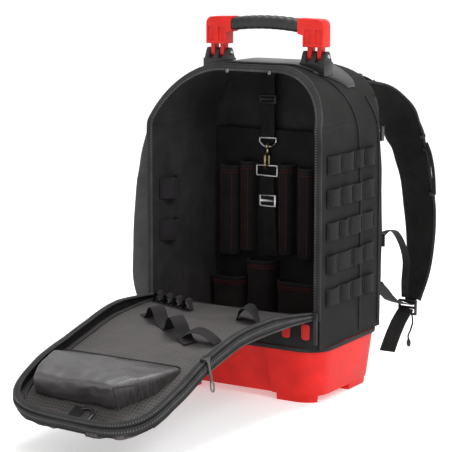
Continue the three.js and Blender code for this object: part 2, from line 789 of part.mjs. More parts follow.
function makeHangingStrap() {
  const face = panelFront - hangStandOff;
  const x = hangMiddle;
  const half = hangWidth / 2;
  const middle = face - hangThick / 2;
  const ringTop = hangRingHeight + ringHeight / 2;
  const across = (points) => points.map(() => new THREE.Vector3(1, 0, 0));
  const upper = vectors([[x, middle, hangTop], [x, middle, ringTop + clearance]]);
  add('hang_strap_upper', band(upper, across(upper), hangWidth, hangThick), 'webbing');
  const plate = (name, front, height, rise, bar, finish, at = x) => {
    const high = height + rise / 2;
    const low = height - rise / 2;
    const wide = half + hangSliderSide;
    add(name, hangPlate(front, hangSliderThick, outline([
      [at - wide, low], [at + wide, low], [at + wide, high], [at - wide, high],
    ]), [
      outline([[at - half, low + hangSliderFrame], [at + half, low + hangSliderFrame],
        [at + half, height - bar], [at - half, height - bar]]),
      outline([[at - half, height + bar], [at + half, height + bar],
        [at + half, high - hangSliderFrame], [at - half, high - hangSliderFrame]]),
    ]), finish);
  };
  plate('hang_slider_upper', face - hangThick - clearance, hangSliderHeight, hangSliderRise,
    hangSliderBar, 'blackPlastic');
  // D-ring at the webbing's lower end, a flat bar on top and a bow below
  const dShape = (inset) => {
    const wide = ringWidth / 2 - inset;
    const low = ringTop - ringHeight + inset;
    const high = ringTop - inset;
    return outline([[x - wide, high], [x - wide, high - ringHeight / 2 + inset],
      [x - wide / 2, low], [x + wide / 2, low], [x + wide, high - ringHeight / 2 + inset],
      [x + wide, high]]);
  };
  add('hang_d_ring', hangPlate(face, ringWire, dShape(0), [dShape(ringWire)]), 'steel');
  // Snap hook: an eye on the ring's bow, and below it a hook closed by its gate
  const eyeY = face - ringWire / 2;
  const eyeZ = ringTop - ringHeight + ringWire / 2;
  const x0 = x - hookThick / 2;
  const x1 = x + hookThick / 2;
  const loop = (inset) => roundedRect(eyeY - hookFront + inset, eyeY + hookBack - inset,
    eyeZ - hookLow + inset, eyeZ - hookHigh - inset, hookCorner - inset);
  const hook = prism('x', loop(0), x0, x1, 3)
    .subtract(prism('x', loop(hookWall), x0 - past, x1 + past, 3))
    .add(block(x0, x1, eyeY - hookNeck, eyeY + hookNeck, eyeZ - hookHigh - past, eyeZ - hookNeck))
    .add(rod('x', eyeY, eyeZ, x0, x1, eyeRadius, 10))
    .subtract(rod('x', eyeY, eyeZ, x0 - past, x1 + past, eyeHole, 8))
    .subtract(block(x0 - past, x1 + past, eyeY - hookFront - past,
      eyeY - hookFront + hookWall + gateRoom, eyeZ - gateLow - clearance,
      eyeZ - gateHigh + clearance));
  add('snap_hook', hook, 'brass');
  const gateY = eyeY - hookFront + hookWall / 2;
  const pivot = eyeZ - gateLow + gateThick / 2;
  add('hook_gate', rod('x', gateY, pivot, x0, x1, gateThick / 2, 10)
    .add(block(x0, x1, gateY - gateThick / 2, gateY + gateThick / 2, pivot, eyeZ - gateHigh)),
  'brass');
  // Square ring on the hook, and the lower webbing with its slider
  const barZ = eyeZ - hookLow + hookWall + clearance;
  const ringY = eyeY - (hookFront - hookBack) / 2 + ringWire / 2;
  const square = (inset) => outline([
    [x - squareWidth / 2 + inset, barZ + ringWire - inset],
    [x + squareWidth / 2 - inset, barZ + ringWire - inset],
    [x + squareWidth / 2 - inset, barZ + ringWire - squareHeight + inset],
    [x - squareWidth / 2 + inset, barZ + ringWire - squareHeight + inset]]);
  add('square_ring', hangPlate(ringY, ringWire, square(0), [square(ringWire)]), 'steel');
  const start = barZ + ringWire - squareHeight - lowerGap;
  const lowerY = ringY - ringWire / 2;
  const lowerX = x + lowerDrift * lowerShare;
  const lower = vectors([[x, lowerY, start], [lowerX, lowerY, (start * 2 + lowerEnd) / 3],
    [x + lowerDrift, lowerY, lowerEnd]]);
  add('hang_strap_lower', band(lower, across(lower), hangWidth, hangThick), 'webbing');
  plate('hang_slider_lower', lowerY - hangThick / 2 - clearance, lowerSliderHeight, lowerSliderRise,
    lowerSliderBar, 'steel', lowerX);
}

// Side pouch on the left, open along its top, and the rows of webbing on the right

function makePouch() {
  const wallX = -halfWidth - clearance;
  const y1 = -halfDepth + pouchDepth + pouchSetBack;
  const level = (inset) => ([out, z]) => {
    const thick = Math.max(pouchThick * out - inset, pouchLeast);
    const round = (radius) => Math.max(Math.min(thick * pouchEdgeShare, radius) - inset,
      pouchLeastEdge);
    return levelRing(wallX - thick, wallX + inset, -halfDepth + pouchSetBack + inset, y1 - inset, z,
      [0, 0, round(pouchBackEdge), round(pouchEdge + inset)], 3);
  };
  const rows = pouchProfile.map(([share, out]) => [out, pouchLow + share * (pouchHigh - pouchLow)]);
  const outer = loft(rows.map(level(0)));
  const innerRows = rows.map(([out, z], i) => [out,
    i === 0 ? z + pouchWall : z + (i === rows.length - 1 ? past : 0)]);
  const inner = loft(innerRows.map(level(pouchWall)))
    .intersect(block(-bodyWidth, wallX - pouchWall, -bodyDepth, bodyDepth, 0, bodyTop));
  add('side_pouch', outer.subtract(inner), 'sideFabric');
}

function makeWebbingRows() {
  const face = halfWidth + clearance;
  const y0 = -halfDepth + webStart;
  const y1 = halfDepth - backTopRadius - webEnd;
  const step = (y1 - y0) / webLoops;
  for (let row = 0; row < webRows; row += 1) {
    const top = webTop - row * webPitch;
    const inside = [];
    for (let i = 0; i < webLoops; i += 1) {
      const y = y0 + i * step;
      inside.push([y, face], [y + step * webFlat, face], [y + step * webRamp, face + webRaise],
        [y + step * (1 - webRamp), face + webRaise], [y + step * (1 - webFlat), face]);
    }
    inside.push([y1, face]);
    const outside = inside.map(([y, x]) => [y, x + webThick]).reverse();
    const shape = outline(inside.concat(outside).map(([y, x]) => [x, y]));
    add(`side_webbing_${row + 1}`, prism('z', shape, top - webHeight, top), 'webbing');
  }
}

// Back: pads and shoulder straps

function softPad(x0, x1, z0, z1, thick, puff) {
  const face = halfDepth + clearance;
  const radius = Math.min((x1 - x0) / 2, (z1 - z0) / 2) * puff;
  return loft(padSection.map(([share, inset]) => levelRing(x0 + inset, x1 - inset, z0 + inset,
    z1 - inset, 0, [radius, radius, radius, radius], 4)
    .map((p) => new THREE.Vector3(p.x, face + thick * share, p.y))));
}

function makePads() {
  const half = padWidth / 2;
  add('back_pad_right', softPad(padMiddle - half, padMiddle + half, padLow, padHigh, padThick,
    padRound), 'padFabric');
  add('back_pad_left', softPad(-padMiddle - half, -padMiddle + half, padLow, padHigh, padThick,
    padRound), 'padFabric');
  add('lumbar_pad', softPad(-padMiddle - half, padMiddle + half, lumbarLow, padLow - padGap,
    padThick + lumbarExtra, lumbarRound), 'padFabric');
}

// The padded strap leaves the back near the top, bows out behind the pack and comes down to the
// ladder lock. Columns: across, back and up as shares of the spread, the reach and the top, and how
// far the strap has turned from upright to facing back.
const strapRoute = [
  [0.475, 0.385, 0.964, 0], [0.485, 0.440, 0.964, 0], [0.600, 0.570, 0.962, 0],
  [0.695, 0.715, 0.945, 0], [0.766, 0.795, 0.918, 0.1], [0.832, 0.862, 0.865, 0.3],
  [0.908, 0.925, 0.769, 0.65], [0.965, 0.972, 0.638, 0.9], [0.993, 0.993, 0.526, 1],
  [1.000, 0.996, 0.433, 1], [0.979, 0.993, 0.321, 1], [0.929, 0.954, 0.218, 1],
];

// The webbing's way from the back to the lock. Columns: across from the lock, behind the back,
// height.
const webbingRoute = [[15, 2.1, 160], [14, 12, 153], [8, 42, 138], [3, 86, 112]];

// The loose end's way from the lock. Columns: across, back and up from the lock.
const tailRoute = [[-2, -25, -16], [-3, -50, -40], [-3, -70, -63]];

function strapPoint([across, back, up]) {
  return new THREE.Vector3(strapSpread * across, strapReach * back, strapTop * up);
}

function makeStrap(side) {
  const name = side < 0 ? 'left' : 'right';
  const turn = (solid) => (side < 0 ? mirrorX(solid) : solid);
  const points = strapRoute.map(strapPoint);
  const upright = new THREE.Vector3(...strapRise);
  const facing = new THREE.Vector3(Math.cos(strapTurn), -Math.sin(strapTurn), 0);
  const across = strapRoute.map((row) => upright.clone().lerp(facing, row[3]));
  add(`shoulder_strap_${name}`, turn(band(points, across, strapWidth, strapThick, strapCut)),
    'padFabric');
  // The ladder lock under the strap's end
  const end = points[points.length - 1];
  const lockX = end.x - lockInset;
  const lockY = end.y - lockForward;
  const lockZ = end.z - lockHeight / 2 - clearance - lockDrop;
  const rect = (inset, low, high) => outline([
    [lockX - lockWidth / 2 + inset, low], [lockX + lockWidth / 2 - inset, low],
    [lockX + lockWidth / 2 - inset, high], [lockX - lockWidth / 2 + inset, high]]);
  const low = lockZ - lockHeight / 2;
  const high = lockZ + lockHeight / 2;
  add(`ladder_lock_${name}`, turn(hangPlate(lockY + lockThick / 2, lockThick, rect(0, low, high), [
    rect(lockBar, low + lockBar, lockZ - lockBar / 2),
    rect(lockBar, lockZ + lockBar / 2, high - lockBar),
  ])), 'blackPlastic');
  // Webbing from the pack's back edge to the lock, and its loose end
  const sideways = (path) => path.map(() => new THREE.Vector3(1, 0, 0));
  const lockFront = lockY - lockThick / 2;
  const web = smoothPath([
    ...webbingRoute.map(([x, y, z]) => [lockX + x, halfDepth + y, z]),
    [lockX, lockFront - webbingEndGap, lockZ + webbingEndRise],
  ], webbingSteps);
  add(`strap_webbing_${name}`, turn(band(web, sideways(web), webbingWidth, webbingThick)),
    'webbing');
  const tail = smoothPath([
    [lockX, lockFront - tailShare * tailThick, lockZ - lockDrop],
    ...tailRoute.map(([x, y, z]) => [lockX + x, lockY + y, lockZ + z]),
  ], tailSteps);
  add(`strap_tail_${name}`, turn(band(tail, sideways(tail), tailWidth, tailThick)), 'webbing');
}

// Flap, laid open in front of the pack with its inner side up. Its middle line is level at the
// hinge and droops towards its end. Columns: share of the length, slope down and roll in degrees.
const flapDroop = [
  [0.00, -2.6, 0], [0.30, 3.1, 0.5], [0.45, 11.9, 2], [0.60, 14.9, 1], [0.75, 19.6, -3],
  [0.90, 24.8, -3], [1.00, 24.8, -3],
];

function droopAt(share) {
  const next = Math.max(flapDroop.findIndex(([s]) => s >= share), 1);
  const [s0, a0, r0] = flapDroop[next - 1];
  const [s1, a1, r1] = flapDroop[next];
  const mix = (share - s0) / (s1 - s0);
  return { slope: THREE.MathUtils.degToRad(a0 + (a1 - a0) * mix),
    roll: THREE.MathUtils.degToRad(r0 + (r1 - r0) * mix) };
}

// Place and directions at one share of the flap's length
function flapFrame(share) {
  let y = -halfDepth - flapHingeGap;
  let z = sillTop;
  const step = share / flapSteps;
  for (let i = 0; i < flapSteps; i += 1) {
    const { slope } = droopAt(Math.min(Math.abs((i + 0.5) * step), 1));
    y -= Math.cos(slope) * flapLength * step;
    z -= Math.sin(slope) * flapLength * step;
  }
  const { slope, roll } = droopAt(Math.min(Math.max(share, 0), 1));
  const along = new THREE.Vector3(0, -Math.cos(slope), -Math.sin(slope));
  const across = new THREE.Vector3(Math.cos(roll), 0, Math.sin(roll))
    .addScaledVector(along, -Math.sin(roll) * along.z).normalize();
  const up = new THREE.Vector3().crossVectors(across, along).negate();
  return { at: new THREE.Vector3(0, y, z), across, up: up.z < 0 ? up.negate() : up };
}

// Half the flap's width at a share of its length, drawn in by an inset all round
function flapWidthAt(share, inset) {
  const length = 1 - inset / flapLength;
  const into = Math.max((share - flapRoundFrom) / (length - flapRoundFrom), 0);
  const full = flapHalf - inset - flapTaper * Math.min(share, 1);
  return Math.max(full * Math.max(1 - into ** flapRoundness, 0) ** (1 / flapRoundness), flapLeast);
}

function flapShares(inset) {
  const end = 1 - inset / flapLength;
  const straight = [0, 0.15, 0.3, 0.45, 0.6, 0.7];
  const round = [0, 0.35, 0.6, 0.78, 0.9, 0.97, 0.999];
  return straight.concat(round.map((t) => flapRoundFrom + (end - flapRoundFrom) * t));
}

// A slab that follows the flap, from one height above its outer face to another
function flapSlab(inset, low, high, before = 0) {
  const shares = flapShares(inset);
  if (before > 0) shares[0] = -before / flapLength;
  return loft(shares.map((share) => {
    const { at, across, up } = flapFrame(share);
    const half = flapWidthAt(share, inset);
    const z0 = typeof low === 'function' ? low(share) : low;
    const z1 = typeof high === 'function' ? high(share) : high;
    return [[-half, z0], [half, z0], [half, z1], [-half, z1]].map(([x, z]) => at.clone()
      .addScaledVector(across, x).addScaledVector(up, z));
  }));
}

function gussetHeight(share) {
  return flapGussetLow
    + (flapGusset - flapGussetLow) * Math.min(Math.max(share, 0) / flapGussetShare, 1);
}

function makeFlap() {
  add('flap_panel', flapSlab(0, 0, flapThick), 'ripstop');
  const base = flapThick + clearance;
  const top = (share) => base + gussetHeight(share);
  add('flap_gusset', flapSlab(0, base, top)
    .subtract(flapSlab(gussetThick, base - flapCut, (share) => top(share) + flapCut, flapBefore)),
  'sideFabric');
  const tape = (share) => top(share) + clearance;
  add('flap_zip_tape', flapSlab(0, tape, (share) => tape(share) + tapeThick)
    .subtract(flapSlab(tapeWidth, (share) => tape(share) - flapCut,
      (share) => tape(share) + tapeThick + flapCut, flapBefore)), 'zipTape');
}

// Moves a solid from the flap's own frame at one share (across, along and up) to its place
function onFlap(solid, share) {
  const { at, across, up } = flapFrame(share);
  const along = new THREE.Vector3().crossVectors(up, across);
  return solid.transform(new THREE.Matrix4().makeBasis(across, along, up).setPosition(at).elements);
}

// A point of the flap by its place across, its share of the length and its height over the inner
// face
function flapPoint(x, share, height) {
  const { at, across, up } = flapFrame(share);
  return at.clone().addScaledVector(across, x).addScaledVector(up, flapThick + height);
}

// The box pocket near the flap's end. Columns: share of the length, left and right edges as shares
// of the flap's half width, and the height on the left and on the right as shares of the most.
const flapPocket = [
  [0.640, -0.764, 0.600, 0.16, 0.16], [0.700, -0.750, 0.600, 0.40, 0.45],
  [0.750, -0.730, 0.573, 0.62, 0.68], [0.820, -0.668, 0.437, 0.80, 0.90],
  [0.868, -0.600, 0.321, 0.80, 1.00],
];

function makeFlapPocket() {
  const ring = (inset) => ([share, left, right, low, high], i, rows) => {
    const end = i === rows.length - 1 ? -1 : 0;
    const shift = (i === 0 ? 1 : end) * inset / flapLength;
    const x0 = left * flapHalf + inset;
    const x1 = right * flapHalf - inset;
    const floor = inset > 0 ? -past : clearance;
    const zl = flapPocketRise * low - inset;
    const zr = flapPocketRise * high - inset;
    const least = flapPocketLeast;
    return [[x0, floor], [x1, floor], [x1, Math.max(zr - flapPocketEase, least)],
      [x1 - flapPocketEase, Math.max(zr, 2 * least)],
      [x0 + 3 * flapPocketCut, Math.max(zl + flapPocketEase / 2, 2 * least)],
      [x0, Math.max(zl - flapPocketCut, least)]]
      .map(([x, z]) => flapPoint(x, share + shift, z));
  };
  add('flap_pocket', loft(flapPocket.map(ring(0))).subtract(
    loft(flapPocket.map(ring(flapPocketWall)))), 'ripstop');
}

function makeFlapRing() {
  const low = flapThick + clearance;
  const ring = rod('z', flapRingAcross, 0, low, low + flapRingWire, flapRingRadius, 14)
    .subtract(rod('z', flapRingAcross, 0, low - past, low + flapRingWire + past,
      flapRingRadius - flapRingWire, 14));
  add('flap_ring', onFlap(ring, flapRingShare), 'steel');
}

// Elastic sewn slantwise over the flap in two humps. Columns: share of its run, height.
const elasticRoute = [
  [0, 2.9], [0.09, 2.9], [0.15, 9], [0.19, 18], [0.25, 23], [0.31, 18], [0.35, 9], [0.41, 2.9],
  [0.53, 2.9], [0.59, 10], [0.645, 22], [0.725, 29], [0.805, 22], [0.86, 10], [0.92, 2.9], [1, 2.9],
];

// Where it starts and ends. Columns: across as a share of the flap's half width, along.
const elasticEnds = [[-0.58, 112], [0.396, 208]];

function makeElastic() {
  const [[x0, y0], [x1, y1]] = elasticEnds.map(([x, y]) => [x * flapHalf, y]);
  const run = [x1 - x0, y1 - y0];
  const place = (t, height) => flapPoint(x0 + run[0] * t, (y0 + run[1] * t) / flapLength, height);
  const points = elasticRoute.map(([t, height]) => place(t, height));
  const span = Math.hypot(run[0], run[1]);
  const { across, up } = flapFrame(y0 / flapLength);
  const along = new THREE.Vector3().crossVectors(up, across).negate();
  const side = across.clone().multiplyScalar(-run[1] / span).addScaledVector(along, run[0] / span);
  add('flap_elastic', band(points, points.map(() => side), elasticWidth, elasticThick), 'webbing');
}

// Zip pulls: one on the right leg of the opening's zip, one at the flap's right edge
function makePulls() {
  const x = halfWidth - rimWide / 2;
  const front = -halfDepth - 2 * clearance - rimProud;
  const start = sillTop + sliderStart;
  const slider = block(x - sliderWidth / 2, x + sliderWidth / 2, front - sliderThick, front, start,
    start + sliderLength);
  const plate = block(x - pullWidth / 2, x + pullWidth / 2, front - sliderThick,
    front - sliderThick + pullThick, start + pullOverlap - 2 * pullLength, start + pullOverlap);
  add('zip_pull_right', slider.add(plate), 'blackPlastic');
  const edge = flapWidthAt(flapPullShare, 0) + pullStandOff;
  const top = flapThick + clearance + gussetHeight(flapPullShare) + tapeThick + 4 * clearance;
  const head = block(edge - sliderWidth - pullStandOff, edge + pullThick, -sliderLength / 2,
    sliderLength / 2, top, top + sliderThick);
  const drop = block(edge, edge + pullThick, -pullWidth / 2, pullWidth / 2,
    top - pullDrop, top + pullOverlap);
  add('flap_zip_pull', onFlap(head.add(drop), flapPullShare), 'blackPlastic');
}

// Red tabs sewn on the sill
function makeTabs() {
  const face = -halfDepth - clearance;
  const places = tabInsets.map((inset) => inset - halfWidth)
    .concat([...tabInsets].reverse().map((inset) => halfWidth - inset));
  places.forEach((x, i) => {
    const w = tabWidth / 2;
    const h = tabHeight / 2;
    const shape = outline([
      [x - w, tabMiddle - h + tabCut], [x - w + tabCut, tabMiddle - h],
      [x + w - tabCut, tabMiddle - h], [x + w, tabMiddle - h + tabCut],
      [x + w, tabMiddle + h - tabCut], [x + w - tabCut, tabMiddle + h],
      [x - w + tabCut, tabMiddle + h], [x - w, tabMiddle + h - tabCut]]);
    add(`sill_tab_${i + 1}`, prism('y', shape, face - tabProud, face), 'redPlastic');
  });
}

makeBody();
makeRim();
makeTray();
makeBinding();
makeTopPlate();
makeBracket('bracket_left', -bracketMiddle);
makeBracket('bracket_right', bracketMiddle);
makePin('pin_left', -bracketMiddle);
makePin('pin_right', bracketMiddle);
makeHandle();
makeInside();
makeSideLoops();
makeHangingStrap();
makePouch();
makeWebbingRows();
makePads();
makeStrap(1);
makeStrap(-1);
makeFlap();
makeFlapPocket();
makeFlapRing();
makeElastic();
makePulls();
makeTabs();

export default pack;
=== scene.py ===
"""Looks of the tool backpack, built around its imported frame. Metres, +Z up, front towards -Y."""
import math

import bpy
import numpy as np
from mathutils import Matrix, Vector, noise


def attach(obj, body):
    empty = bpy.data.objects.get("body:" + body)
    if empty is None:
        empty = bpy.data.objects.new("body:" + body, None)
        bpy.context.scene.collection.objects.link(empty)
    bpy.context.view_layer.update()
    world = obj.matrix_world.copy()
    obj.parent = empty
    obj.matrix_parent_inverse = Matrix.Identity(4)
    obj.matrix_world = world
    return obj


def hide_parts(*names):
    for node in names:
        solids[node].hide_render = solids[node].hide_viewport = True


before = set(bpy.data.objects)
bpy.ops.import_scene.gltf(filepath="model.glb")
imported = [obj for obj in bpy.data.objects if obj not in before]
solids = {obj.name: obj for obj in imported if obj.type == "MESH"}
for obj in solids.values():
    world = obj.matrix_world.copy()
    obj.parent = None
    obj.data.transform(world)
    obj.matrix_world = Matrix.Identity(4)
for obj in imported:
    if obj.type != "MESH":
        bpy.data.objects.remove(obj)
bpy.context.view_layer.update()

# Sizes that the pieces share
HALF_WIDTH = 0.156
HALF_DEPTH = 0.1065
BODY_TOP = 0.515
SHOULDER = 0.106
SHOULDER_LOW = BODY_TOP - SHOULDER
LEAN_START = 0.425
LEAN = 0.058 / (BODY_TOP - LEAN_START)
SILL_TOP = 0.136
PANEL_FRONT = 0.0902
TOOTH_PITCH = 0.0040
STITCH_LENGTH, STITCH_PITCH, THREAD_THICK = 0.0028, 0.0042, 0.0007


# ---- Camera -------------------------------------------------------------------------------------

def set_camera():
    """The camera stands where the photograph was taken from."""
    azimuth = math.radians(31.42)
    drop = math.radians(9.79)
    ahead = Vector((-math.sin(azimuth) * math.cos(drop), math.cos(azimuth) * math.cos(drop),
                    -math.sin(drop)))
    camera = bpy.data.objects.new("photo_camera", bpy.data.cameras.new("photo_camera"))
    bpy.context.scene.collection.objects.link(camera)
    camera.location = (1.3879, -2.3968, 0.7316)
    camera.rotation_euler = ahead.to_track_quat("-Z", "Y").to_euler()
    camera.data.sensor_width = 36
    camera.data.lens = 139.39
    camera.data.clip_end = 60
    bpy.context.scene.camera = camera


set_camera()


# ---- Helpers: selecting, shaping, placing -------------------------------------------------------

def only(piece):
    """Selects this piece alone."""
    bpy.ops.object.select_all(action="DESELECT")
    piece.select_set(True)
    bpy.context.view_layer.objects.active = piece


def edit(piece):
    """Opens a piece in edit mode with all of it selected."""
    only(piece)
    bpy.ops.object.mode_set(mode="EDIT")
    bpy.ops.mesh.select_all(action="SELECT")


def close():
    bpy.ops.object.mode_set(mode="OBJECT")


def modify(piece, kind, **settings):
    """Adds a modifier and applies it."""
    only(piece)
    modifier = piece.modifiers.new(kind.lower(), kind)
    for key, value in settings.items():
        setattr(modifier, key, value)
    bpy.ops.object.modifier_apply(modifier=modifier.name)
    return piece


def smooth(piece, angle=38):
    only(piece)
    bpy.ops.object.shade_smooth_by_angle(angle=math.radians(angle))
    return piece


def cast_of(node, name):
    """A merged copy of a CAD solid, the start of the piece that stands for it."""
    piece = bpy.data.objects.new(name, solids[node].data.copy())
    bpy.context.scene.collection.objects.link(piece)
    edit(piece)
    bpy.ops.mesh.remove_doubles(threshold=2e-5)
    bpy.ops.mesh.dissolve_limited(angle_limit=math.radians(1.0))
    close()
    return piece


def rounded(node, name, width, segments=2):
    """A hard piece: the CAD solid with its edges eased."""
    piece = cast_of(node, name)
    modify(piece, "BEVEL", width=width, segments=segments, limit_method="ANGLE",
           angle_limit=math.radians(32), harden_normals=False)
    return smooth(piece, 40)


def sliced(piece, steps):
    """Cuts a piece on planes across X, Y and Z, so that its faces can follow folds."""
    edit(piece)
    low, high = extent(piece)
    for axis in range(3):
        if not steps[axis]:
            continue
        normal = [0, 0, 0]
        normal[axis] = 1
        for cut in np.arange(low[axis] + steps[axis], high[axis], steps[axis]):
            at = [0, 0, 0]
            at[axis] = cut
            bpy.ops.mesh.select_all(action="SELECT")
            bpy.ops.mesh.bisect(plane_co=at, plane_no=normal)
    close()
    return piece


def extent(piece):
    co = coords(piece)
    return co.min(0), co.max(0)


def coords(piece):
    co = np.zeros(len(piece.data.vertices) * 3)
    if piece.mode == "EDIT":
        piece.update_from_editmode()
    piece.data.vertices.foreach_get("co", co)
    return co.reshape(-1, 3)


def place(piece, co):
    """Puts every point of a piece at its place."""
    piece.data.vertices.foreach_set("co", np.asarray(co, float).ravel())
    piece.data.update()
    return piece


def ripple(piece, depth, size, seed=0.0, low=-1.0, high=0.0, hold=None):
    """Moves the surface along its normals by soft noise, from low to high times the depth."""
    co = coords(piece)
    normals = np.array([v.normal for v in piece.data.vertices])
    for i, p in enumerate(co):
        value = noise.noise(Vector(p) / size + Vector((seed, 2 * seed, 5.1)))
        value += 0.5 * noise.noise(Vector(p) / size * 2.3 + Vector((seed, 7.7, seed)))
        share = low + (high - low) * min(max(0.5 + 0.5 * value, 0), 1)
        keep = 1.0 if hold is None else hold(p)
        co[i] = p + normals[i] * depth * share * keep
    return place(piece, co)


def sheet_of(name, rows):
    """A sheet through rows of points: a grid is added and each of its points put in place."""
    tall, wide = len(rows), len(rows[0])
    bpy.ops.object.select_all(action="DESELECT")
    bpy.ops.mesh.primitive_grid_add(x_subdivisions=wide - 1, y_subdivisions=tall - 1, size=1,
                                    location=(0, 0, 0))
    piece = bpy.context.object
    piece.name = name
    return place(piece, np.array(rows, float).reshape(-1, 3))


def tube_of(name, rings):
    """A closed skin through rings of points: a sheet whose edges are merged and ends filled."""
    piece = sheet_of(name, [list(ring) + [ring[0]] for ring in rings])
    edit(piece)
    bpy.ops.mesh.remove_doubles(threshold=1e-6)
    bpy.ops.mesh.fill_holes(sides=0)
    bpy.ops.mesh.select_all(action="SELECT")
    bpy.ops.mesh.normals_make_consistent(inside=False)
    close()
    return piece


def thicken(piece, thick):
    """Gives a sheet its thickness."""
    return modify(piece, "SOLIDIFY", thickness=thick, offset=0.0, use_even_offset=True,
                  use_quality_normals=True)


def spline(points, count):
    """A smooth line through points, evenly spaced."""
    p = np.array(points, float)
    p = np.vstack([2 * p[0] - p[1], p, 2 * p[-1] - p[-2]])
    out = []
    for i in range(1, len(p) - 2):
        for t in np.linspace(0, 1, 24, endpoint=False):
            out.append(0.5 * ((2 * p[i]) + (-p[i - 1] + p[i + 1]) * t
                              + (2 * p[i - 1] - 5 * p[i] + 4 * p[i + 1] - p[i + 2]) * t * t
                              + (-p[i - 1] + 3 * p[i] - 3 * p[i + 1] + p[i + 2]) * t ** 3))
    out.append(p[-2])
    return even(out, count)


def even(line, count):
    """The same line with its points evenly spaced."""
    line = np.array(line, float)
    run = np.concatenate([[0], np.cumsum(np.linalg.norm(np.diff(line, axis=0), axis=1))])
    at = np.linspace(0, run[-1], count)
    return np.stack([np.interp(at, run, line[:, k]) for k in range(line.shape[1])], 1)


def length_of(line):
    return float(np.linalg.norm(np.diff(np.array(line), axis=0), axis=1).sum())


def directions(line):
    """Unit directions along a line."""
    d = np.gradient(np.array(line, float), axis=0)
    return d / np.linalg.norm(d, axis=1)[:, None]


def unit(v):
    v = np.asarray(v, float)
    return v / np.maximum(np.linalg.norm(v, axis=-1, keepdims=True), 1e-12)


def piping(name, line, radius, loop=False):
    """A round cord along a line."""
    curve = bpy.data.curves.new(name, "CURVE")
    curve.dimensions = "3D"
    curve.bevel_depth = radius
    curve.bevel_resolution = 2
    curve.use_fill_caps = True
    run = curve.splines.new("POLY")
    run.points.add(len(line) - 1)
    for point, p in zip(run.points, line):
        point.co = (*p, 1)
    run.use_cyclic_u = loop
    piece = bpy.data.objects.new(name, curve)
    bpy.context.scene.collection.objects.link(piece)
    only(piece)
    bpy.ops.object.convert(target="MESH")
    piece = bpy.context.object
    return smooth(piece, 60)


def band_of(name, line, across, width, thick, sides=6, cut=0.3):
    """A band of webbing or padding along a line, with a section that is fuller in its middle."""
    line = np.array(line, float)
    ahead = directions(line)
    side = unit(np.array(across) - ahead * (np.array(across) * ahead).sum(1)[:, None])
    up = np.cross(ahead, side)
    widths = np.broadcast_to(width, len(line))
    thicks = np.broadcast_to(thick, len(line))
    rings = []
    for p, s, n, w, t in zip(line, side, up, widths, thicks):
        section = []
        for k in range(sides + 1):
            a = -1 + 2 * k / sides
            edge = (1 - abs(a) ** 4) * (1 - cut) + cut
            section.append((a * w / 2, t / 2 * edge))
        section += [(a, -t / 2 * ((1 - abs(2 * a / w) ** 4) * (1 - cut) + cut))
                    for a, _ in reversed(section)]
        rings.append([p + s * a + n * b for a, b in section])
    return smooth(tube_of(name, rings), 50)


def repeat(name, grain, places):
    """Copies of one small piece at many places, joined into one."""
    base = coords(grain)
    faces = [tuple(f.vertices) for f in grain.data.polygons]
    verts, polys = [], []
    for k, (at, x, y, z) in enumerate(places):
        turn = np.stack([x, y, z], 0)
        verts.append(base @ turn + at)
        polys += [tuple(v + k * len(base) for v in f) for f in faces]
    mesh = bpy.data.meshes.new(name)
    mesh.from_pydata(np.concatenate(verts).tolist(), [], polys)
    piece = bpy.data.objects.new(name, mesh)
    bpy.context.scene.collection.objects.link(piece)
    return smooth(piece, 40)


def grain_box(length, width, height, bevel):
    """One tooth, stitch or rib, lying along X."""
    bpy.ops.object.select_all(action="DESELECT")
    bpy.ops.mesh.primitive_cube_add(size=1, location=(0, 0, 0))
    grain = bpy.context.object
    place(grain, coords(grain) * np.array([length, width, height]))
    return modify(grain, "BEVEL", width=bevel, segments=1, limit_method="NONE")


def along(line, up, pitch):
    """Places and directions every pitch along a line, for teeth and stitches."""
    line = np.array(line, float)
    count = max(int(length_of(line) / pitch), 2)
    points = even(line, count)
    ahead = directions(points)
    ups = np.broadcast_to(np.asarray(up, float), line.shape)
    run = np.concatenate([[0], np.cumsum(np.linalg.norm(np.diff(line, axis=0), axis=1))])
    at = np.linspace(0, run[-1], count)
    normal = unit(np.stack([np.interp(at, run, ups[:, k]) for k in range(3)], 1))
    side = unit(np.cross(normal, ahead))
    normal = unit(np.cross(ahead, side))
    return list(zip(points, ahead, side, normal))


def remove(piece):
    bpy.data.objects.remove(piece)


def stitches(name, line, up, finish):
    """A row of stitches along a line."""
    grain = grain_box(STITCH_LENGTH, THREAD_THICK, THREAD_THICK, THREAD_THICK * 0.3)
    piece = repeat(name, grain, along(line, up, STITCH_PITCH))
    remove(grain)
    return dress(piece, finish)


def dress(piece, finish, body="backpack", replaced=None):
    """Gives a piece its finish, its body and the solid that it stands for."""
    piece.data.materials.clear()
    piece.data.materials.append(finish)
    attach(piece, body)
    if replaced:
        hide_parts(replaced)
    return piece


def fitted(node, name, width, finish, body="backpack", segments=2):
    """A hard piece cast from its solid, with its edges eased, in the solid's place."""
    return dress(rounded(node, name, width, segments), finish, body, node)


def cloth_cast(node, name, width, finish, segments=1, angle=50):
    """A cloth piece cast from its solid, with its cut edges slightly eased."""
    piece = cast_of(node, name)
    modify(piece, "BEVEL", width=width, segments=segments, limit_method="ANGLE",
           angle_limit=math.radians(40))
    return dress(smooth(piece, angle), finish, replaced=node)


# ---- Finishes -----------------------------------------------------------------------------------

def shader_node(tree, kind, links=None, **settings):
    made = tree.nodes.new(kind)
    for key, value in settings.items():
        setattr(made, key, value)
    for socket, value in (links or {}).items():
        target = made.inputs[socket]
        if isinstance(value, bpy.types.NodeSocket):
            tree.links.new(value, target)
        else:
            target.default_value = value
    return made


def start_finish(name):
    finish = bpy.data.materials.new(name)
    finish.use_nodes = True
    tree = finish.node_tree
    tree.nodes.clear()
    where = shader_node(tree, "ShaderNodeTexCoord").outputs["Object"]
    return finish, tree, where


